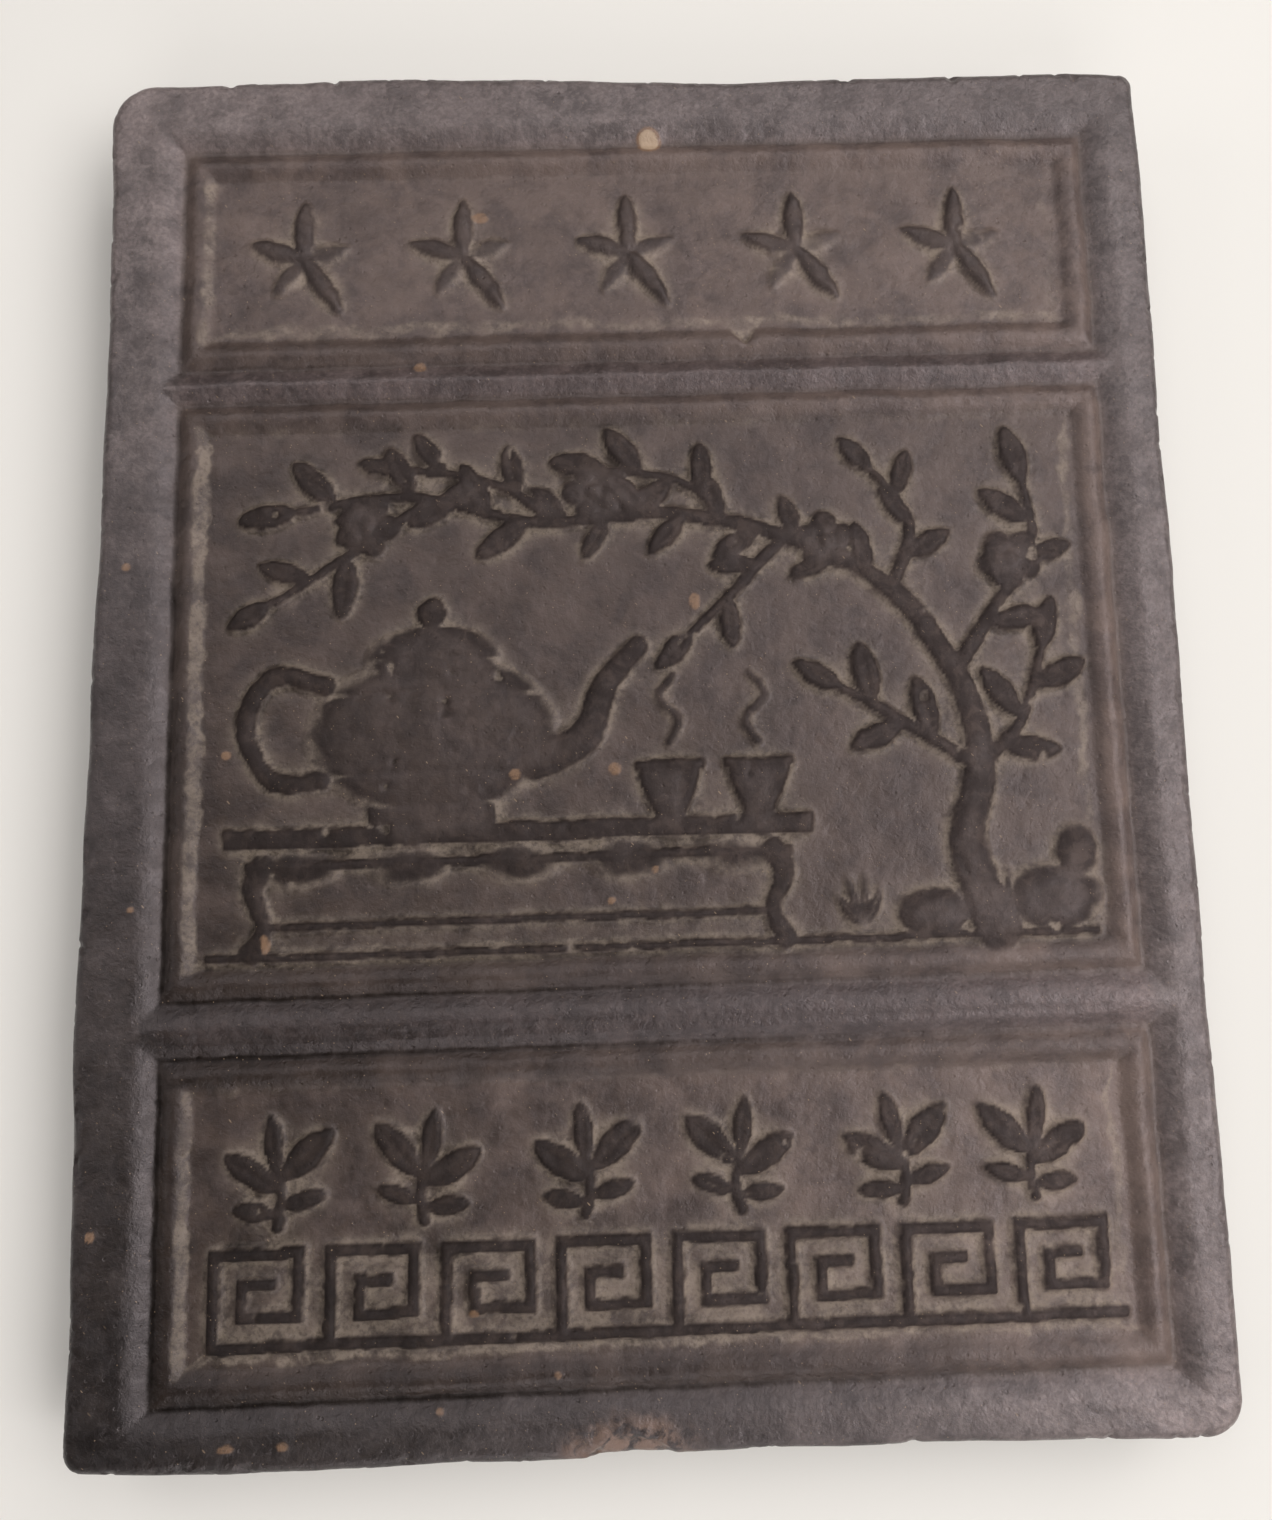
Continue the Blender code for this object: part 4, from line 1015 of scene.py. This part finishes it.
class Nodes:
    """Short calls that add nodes to a material's tree."""

    def __init__(self, name):
        self.material = bpy.data.materials.new(name)
        self.material.use_nodes = True
        self.tree = self.material.node_tree
        self.shader = self.tree.nodes["Principled BSDF"]

    def add(self, kind, inputs=(), **settings):
        """A node with its settings, and its inputs linked or set."""
        node = self.tree.nodes.new(kind)
        for key, value in settings.items():
            setattr(node, key, value)
        for key, value in dict(inputs).items():
            self.feed(node.inputs[key], value)
        return node

    def feed(self, socket, value):
        """Link a node's output to a socket, or set the socket to a plain value."""
        if isinstance(value, bpy.types.NodeSocket):
            self.tree.links.new(value, socket)
        else:
            socket.default_value = value

    def shade(self, name, value):
        """Feed one of the shader's sockets."""
        self.feed(self.shader.inputs[name], value)

    def math(self, operation, first, second=0.0, clamp=False):
        inputs = {0: first, 1: second}
        node = self.add("ShaderNodeMath", inputs, operation=operation, use_clamp=clamp)
        return node.outputs[0]

    def times(self, first, second):
        return self.math("MULTIPLY", first, second)

    def step(self, value, low, high, start=0.0, end=1.0):
        """Smooth step from start to end as value goes from low to high."""
        inputs = {"Value": value, "From Min": low, "From Max": high, "To Min": start, "To Max": end}
        node = self.add("ShaderNodeMapRange", inputs, interpolation_type="SMOOTHSTEP")
        return node.outputs["Result"]

    def mask(self, name):
        return self.add("ShaderNodeAttribute", attribute_name=name).outputs["Fac"]

    def noise(self, place, size, detail=4.0, rough=0.55, warp=0.0):
        """Noise from 0 to 1 with lumps of a size in millimetres."""
        inputs = {"Vector": place, "Scale": 1.0 / size, "Detail": detail}
        inputs.update({"Roughness": rough, "Distortion": warp})
        return self.add("ShaderNodeTexNoise", inputs).outputs["Fac"]

    def grey(self, value):
        """A value as a grey colour."""
        return self.add("ShaderNodeCombineColor", {0: value, 1: value, 2: value}).outputs[0]

    def mix(self, share, first, second, blend="MIX"):
        """Mix two colours."""
        inputs = {0: share, 6: first, 7: second}
        node = self.add("ShaderNodeMix", inputs, data_type="RGBA", blend_type=blend)
        return node.outputs[2]


def rgb(red, green, blue):
    return (red, green, blue, 1.0)


DARK_LEAF = rgb(0.024, 0.0195, 0.019)
LIGHT_LEAF = rgb(0.045, 0.037, 0.036)
PALE_BLOTCH = rgb(0.062, 0.050, 0.049)
DARK_CLOUD = rgb(0.026, 0.020, 0.019)
CRUMB_SHADE = rgb(0.012, 0.010, 0.010)
PANEL_GROUND = rgb(0.070, 0.055, 0.047)
RAISED_TEA = rgb(0.019, 0.0150, 0.0142)
# Painted shade, laid into the creases
PAINTED_CREASE_SHADE = rgb(0.011, 0.009, 0.008)
# Tint where the painted sheen and bloom are thin
THIN_SHEEN_AND_BLOOM_TINT = rgb(1.04, 0.97, 0.86)
INNER_TINT = rgb(1.04, 0.955, 0.945)
DUST = rgb(0.230, 0.186, 0.150)
STALK = rgb(0.25, 0.180, 0.125)
GRIT = rgb(0.21, 0.125, 0.075)
PALE_GRIT = rgb(0.42, 0.31, 0.22)
SCUFF = rgb(0.23, 0.148, 0.112)
SHEEN = rgb(1.0, 0.90, 0.95)
FLOOR_PAPER = rgb(0.85, 0.835, 0.81)

# Scattered stalks: spacing in millimetres, how much longer than wide, turn, greatest reach
STALK_LAYERS = ((5.0, 1.0, 0.0, 0.12), (7.0, 3.2, 0.7, 0.09), (3.1, 1.3, 1.1, 0.15))


def tea_material():
    """Pressed black tea: dark mottled leaf dust, painted and real mauve sheen, painted crease
    shade, tan dust round the relief.
    """
    n = Nodes("pressed_black_tea")
    coordinates = n.add("ShaderNodeTexCoord").outputs["Object"]
    inputs = {0: coordinates, "Scale": 1 / MM}
    place = n.add("ShaderNodeVectorMath", inputs, operation="SCALE").outputs[0]

    # Mottling of leaf dust at three scales
    crumb = n.noise(place, 0.8, 3.0, 0.6)
    flecks = n.noise(place, 2.6, 5.0, 0.65, 0.5)
    blotches = n.noise(place, 8.0, 4.0, 0.6, 0.4)
    clouds = n.noise(place, 38.0, 3.0)
    colour = n.mix(n.step(flecks, 0.40, 0.60), DARK_LEAF, LIGHT_LEAF)
    colour = n.mix(n.step(blotches, 0.42, 0.62, 0.0, 0.50), colour, PALE_BLOTCH)
    colour = n.mix(n.step(clouds, 0.42, 0.60, 0.0, 0.35), colour, DARK_CLOUD)
    colour = n.mix(n.step(crumb, 0.62, 0.40, 0.0, 0.36), colour, CRUMB_SHADE)

    # The panels' ground is lighter and warmer
    ground = n.times(n.mask("sunken"), n.step(blotches, 0.35, 0.60, 0.25, 0.65))
    colour = n.mix(ground, colour, PANEL_GROUND)

    # What stands up is nearly black; creases get painted shade, less where the painted sheen is
    # thick
    raised = n.times(n.mask("raised"), n.step(flecks, 0.62, 0.42, 0.45, 0.92))
    colour = n.mix(raised, colour, RAISED_TEA)
    crease_shading = n.step(n.mask("hollow"), 0.08, 0.36, 0.0, 0.85)
    crease_shading = n.times(crease_shading, n.step(n.mask("sheen_and_bloom"), -0.7, 0.8, 1.0, 0.45))
    colour = n.mix(crease_shading, colour, PAINTED_CREASE_SHADE)

    # Painted sheen, partly a pale bloom, lies over all of it and is dimmest towards the lower
    # left: brown where it is thin, redder inside the border
    sheen_and_bloom = n.math("EXPONENT", n.mask("sheen_and_bloom"))
    colour = n.mix(1.0, colour, n.grey(sheen_and_bloom), "MULTIPLY")
    thin = n.step(n.mask("sheen_and_bloom"), 0.5, -0.9)
    colour = n.mix(thin, colour, THIN_SHEEN_AND_BLOOM_TINT, "MULTIPLY")
    colour = n.mix(n.mask("inner"), colour, INNER_TINT, "MULTIPLY")

    # Tan dust in the corners round what stands up
    patches = n.step(n.noise(place, 4.0, 5.0, 0.65, 0.4), 0.36, 0.60, 0.2, 1.0)
    dust = n.times(n.step(n.mask("foot"), 0.0, 0.75), patches)
    dust = n.times(dust, n.step(crumb, 0.30, 0.55, 0.35, 0.75))
    # The dust is lightened by part of the painted sheen
    pale = n.grey(n.math("POWER", sheen_and_bloom, 0.35))
    colour = n.mix(dust, colour, n.mix(1.0, DUST, pale, "MULTIPLY"))

    # Scattered tan stalks: long and round specks
    for size, stretch, turn, most in STALK_LAYERS:
        scale = (size, size * stretch, size)
        inputs = {"Vector": place, "Rotation": (0.0, 0.0, turn), "Scale": scale}
        mapping = n.add("ShaderNodeMapping", inputs, vector_type="TEXTURE")
        cells = n.add("ShaderNodeTexVoronoi", {"Vector": mapping.outputs[0]}, feature="F1")
        spread = n.add("ShaderNodeSeparateColor", {0: cells.outputs["Color"]})
        reach = n.step(spread.outputs[0], 0.60, 1.0, 0.0, most)
        stalk = n.math("LESS_THAN", cells.outputs["Distance"], reach)
        stalk = n.times(stalk, n.step(spread.outputs[1], 0.0, 1.0, 0.25, 0.8))
        colour = n.mix(stalk, colour, STALK)

    # Pressed-in grit, and the scuffed flake on the lower border
    grit = n.times(n.step(n.mask("speck"), 0.1, 0.6), n.step(crumb, 0.30, 0.55, 0.5, 0.9))
    colour = n.mix(grit, colour, GRIT)
    colour = n.mix(n.step(n.mask("speck"), 0.65, 1.0), colour, PALE_GRIT)
    scuff = n.times(n.mask("scuff"), n.step(flecks, 0.38, 0.56))
    colour = n.mix(n.times(scuff, 0.8), colour, SCUFF)
    n.shade("Base Color", colour)

    # Gloss: what the mould polished shines a little, dust and rubbed tops are dull
    roughness = n.step(n.noise(place, 3.0, 5.0, 0.65, 0.4), 0.36, 0.64, 0.34, 0.50)
    roughness = n.math("ADD", roughness, n.times(n.mask("raised"), 0.22))
    roughness = n.math("ADD", roughness, n.times(dust, 0.2), clamp=True)
    n.shade("Roughness", roughness)
    polish = n.step(n.mask("sunken"), 1.0, 0.0, 0.50, 0.72)
    polish = n.times(polish, n.step(n.mask("raised"), 0.2, 1.0, 1.0, 0.60))
    polish = n.times(polish, n.step(crease_shading, 0.0, 1.0, 1.0, 0.25))
    n.shade("Specular IOR Level", polish)
    n.shade("Specular Tint", SHEEN)

    # Fine grain, coarser grain and pinholes
    grain = n.noise(place, 0.5, 4.0, 0.65)
    coarse = n.noise(place, 1.5, 4.0, 0.6, 0.5)
    holes = n.add("ShaderNodeTexVoronoi", {"Vector": place, "Scale": 1 / 2.2}, feature="F1")
    pinholes = n.step(holes.outputs["Distance"], 0.05, 0.16)
    relief = n.math("ADD", n.times(grain, 0.30), n.times(coarse, 0.60))
    relief = n.math("ADD", relief, n.times(pinholes, 0.25))
    bump = n.add("ShaderNodeBump", {"Strength": 0.7, "Distance": 0.0004, "Height": relief})
    n.shade("Normal", bump.outputs["Normal"])
    return n.material


def paper_material():
    """Plain pale floor."""
    n = Nodes("pale_floor")
    n.shade("Base Color", FLOOR_PAPER)
    n.shade("Roughness", 0.9)
    n.shade("Specular IOR Level", 0.2)
    return n.material


# The studio


def add_floor():
    """A wide pale floor at the brick's underside."""
    bpy.ops.mesh.primitive_plane_add(size=4.0)
    floor = bpy.context.object
    floor.name = "floor"
    floor.data.materials.append(paper_material())


def add_soft_box(name, azimuth, elevation, power):
    """A square soft box round the brick, aimed at it; the azimuth is counted from +X."""
    data = bpy.data.lights.new(name, "AREA")
    data.shape = "SQUARE"
    data.size = SOFT_BOX_SIZE
    data.energy = power
    data.color = LIGHT_COLOUR
    light = new_object(name, data)
    turn, rise = math.radians(azimuth), math.radians(elevation)
    out, up = SOFT_BOX_DISTANCE * math.cos(rise), SOFT_BOX_DISTANCE * math.sin(rise)
    light.location = (out * math.cos(turn), out * math.sin(turn), up)
    light.rotation_euler = (math.pi / 2 - rise, 0.0, turn + math.pi / 2)


def add_studio():
    """Broad soft light, most of it from the right and from below, the upper left dim."""
    for number, place_and_power in enumerate(SOFT_BOXES):
        add_soft_box(f"soft_box_{number}", *place_and_power)
    world = bpy.data.worlds.new("studio")
    world.use_nodes = True
    background = world.node_tree.nodes["Background"]
    background.inputs["Color"].default_value = rgb(*LIGHT_COLOUR)
    background.inputs["Strength"].default_value = WORLD_STRENGTH
    bpy.context.scene.world = world
    bpy.context.scene.view_settings.view_transform = "Standard"


def add_camera():
    """The photograph's view: nearly straight down from just below the middle."""
    data = bpy.data.cameras.new("camera")
    data.lens = CAMERA_LENS
    data.sensor_width = 36.0
    data.clip_start = 0.01
    camera = new_object("camera", data)
    camera.location = CAMERA_PLACE
    camera.rotation_euler = tuple(math.radians(turn) for turn in CAMERA_TURNS)
    bpy.context.scene.camera = camera


MOTIFS = (
    press_stars, press_tree, press_blossoms, press_table, press_teapot, press_cups,
    press_foot_of_tree, press_sprigs, press_fret,
)

raster = Raster()
for press_motif in MOTIFS:
    press_motif(raster)
brick = build_brick(raster, face_heights(raster))
brick.data.materials.append(tea_material())
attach(brick, "root")
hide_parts("tea_brick")
add_floor()
add_studio()
add_camera()
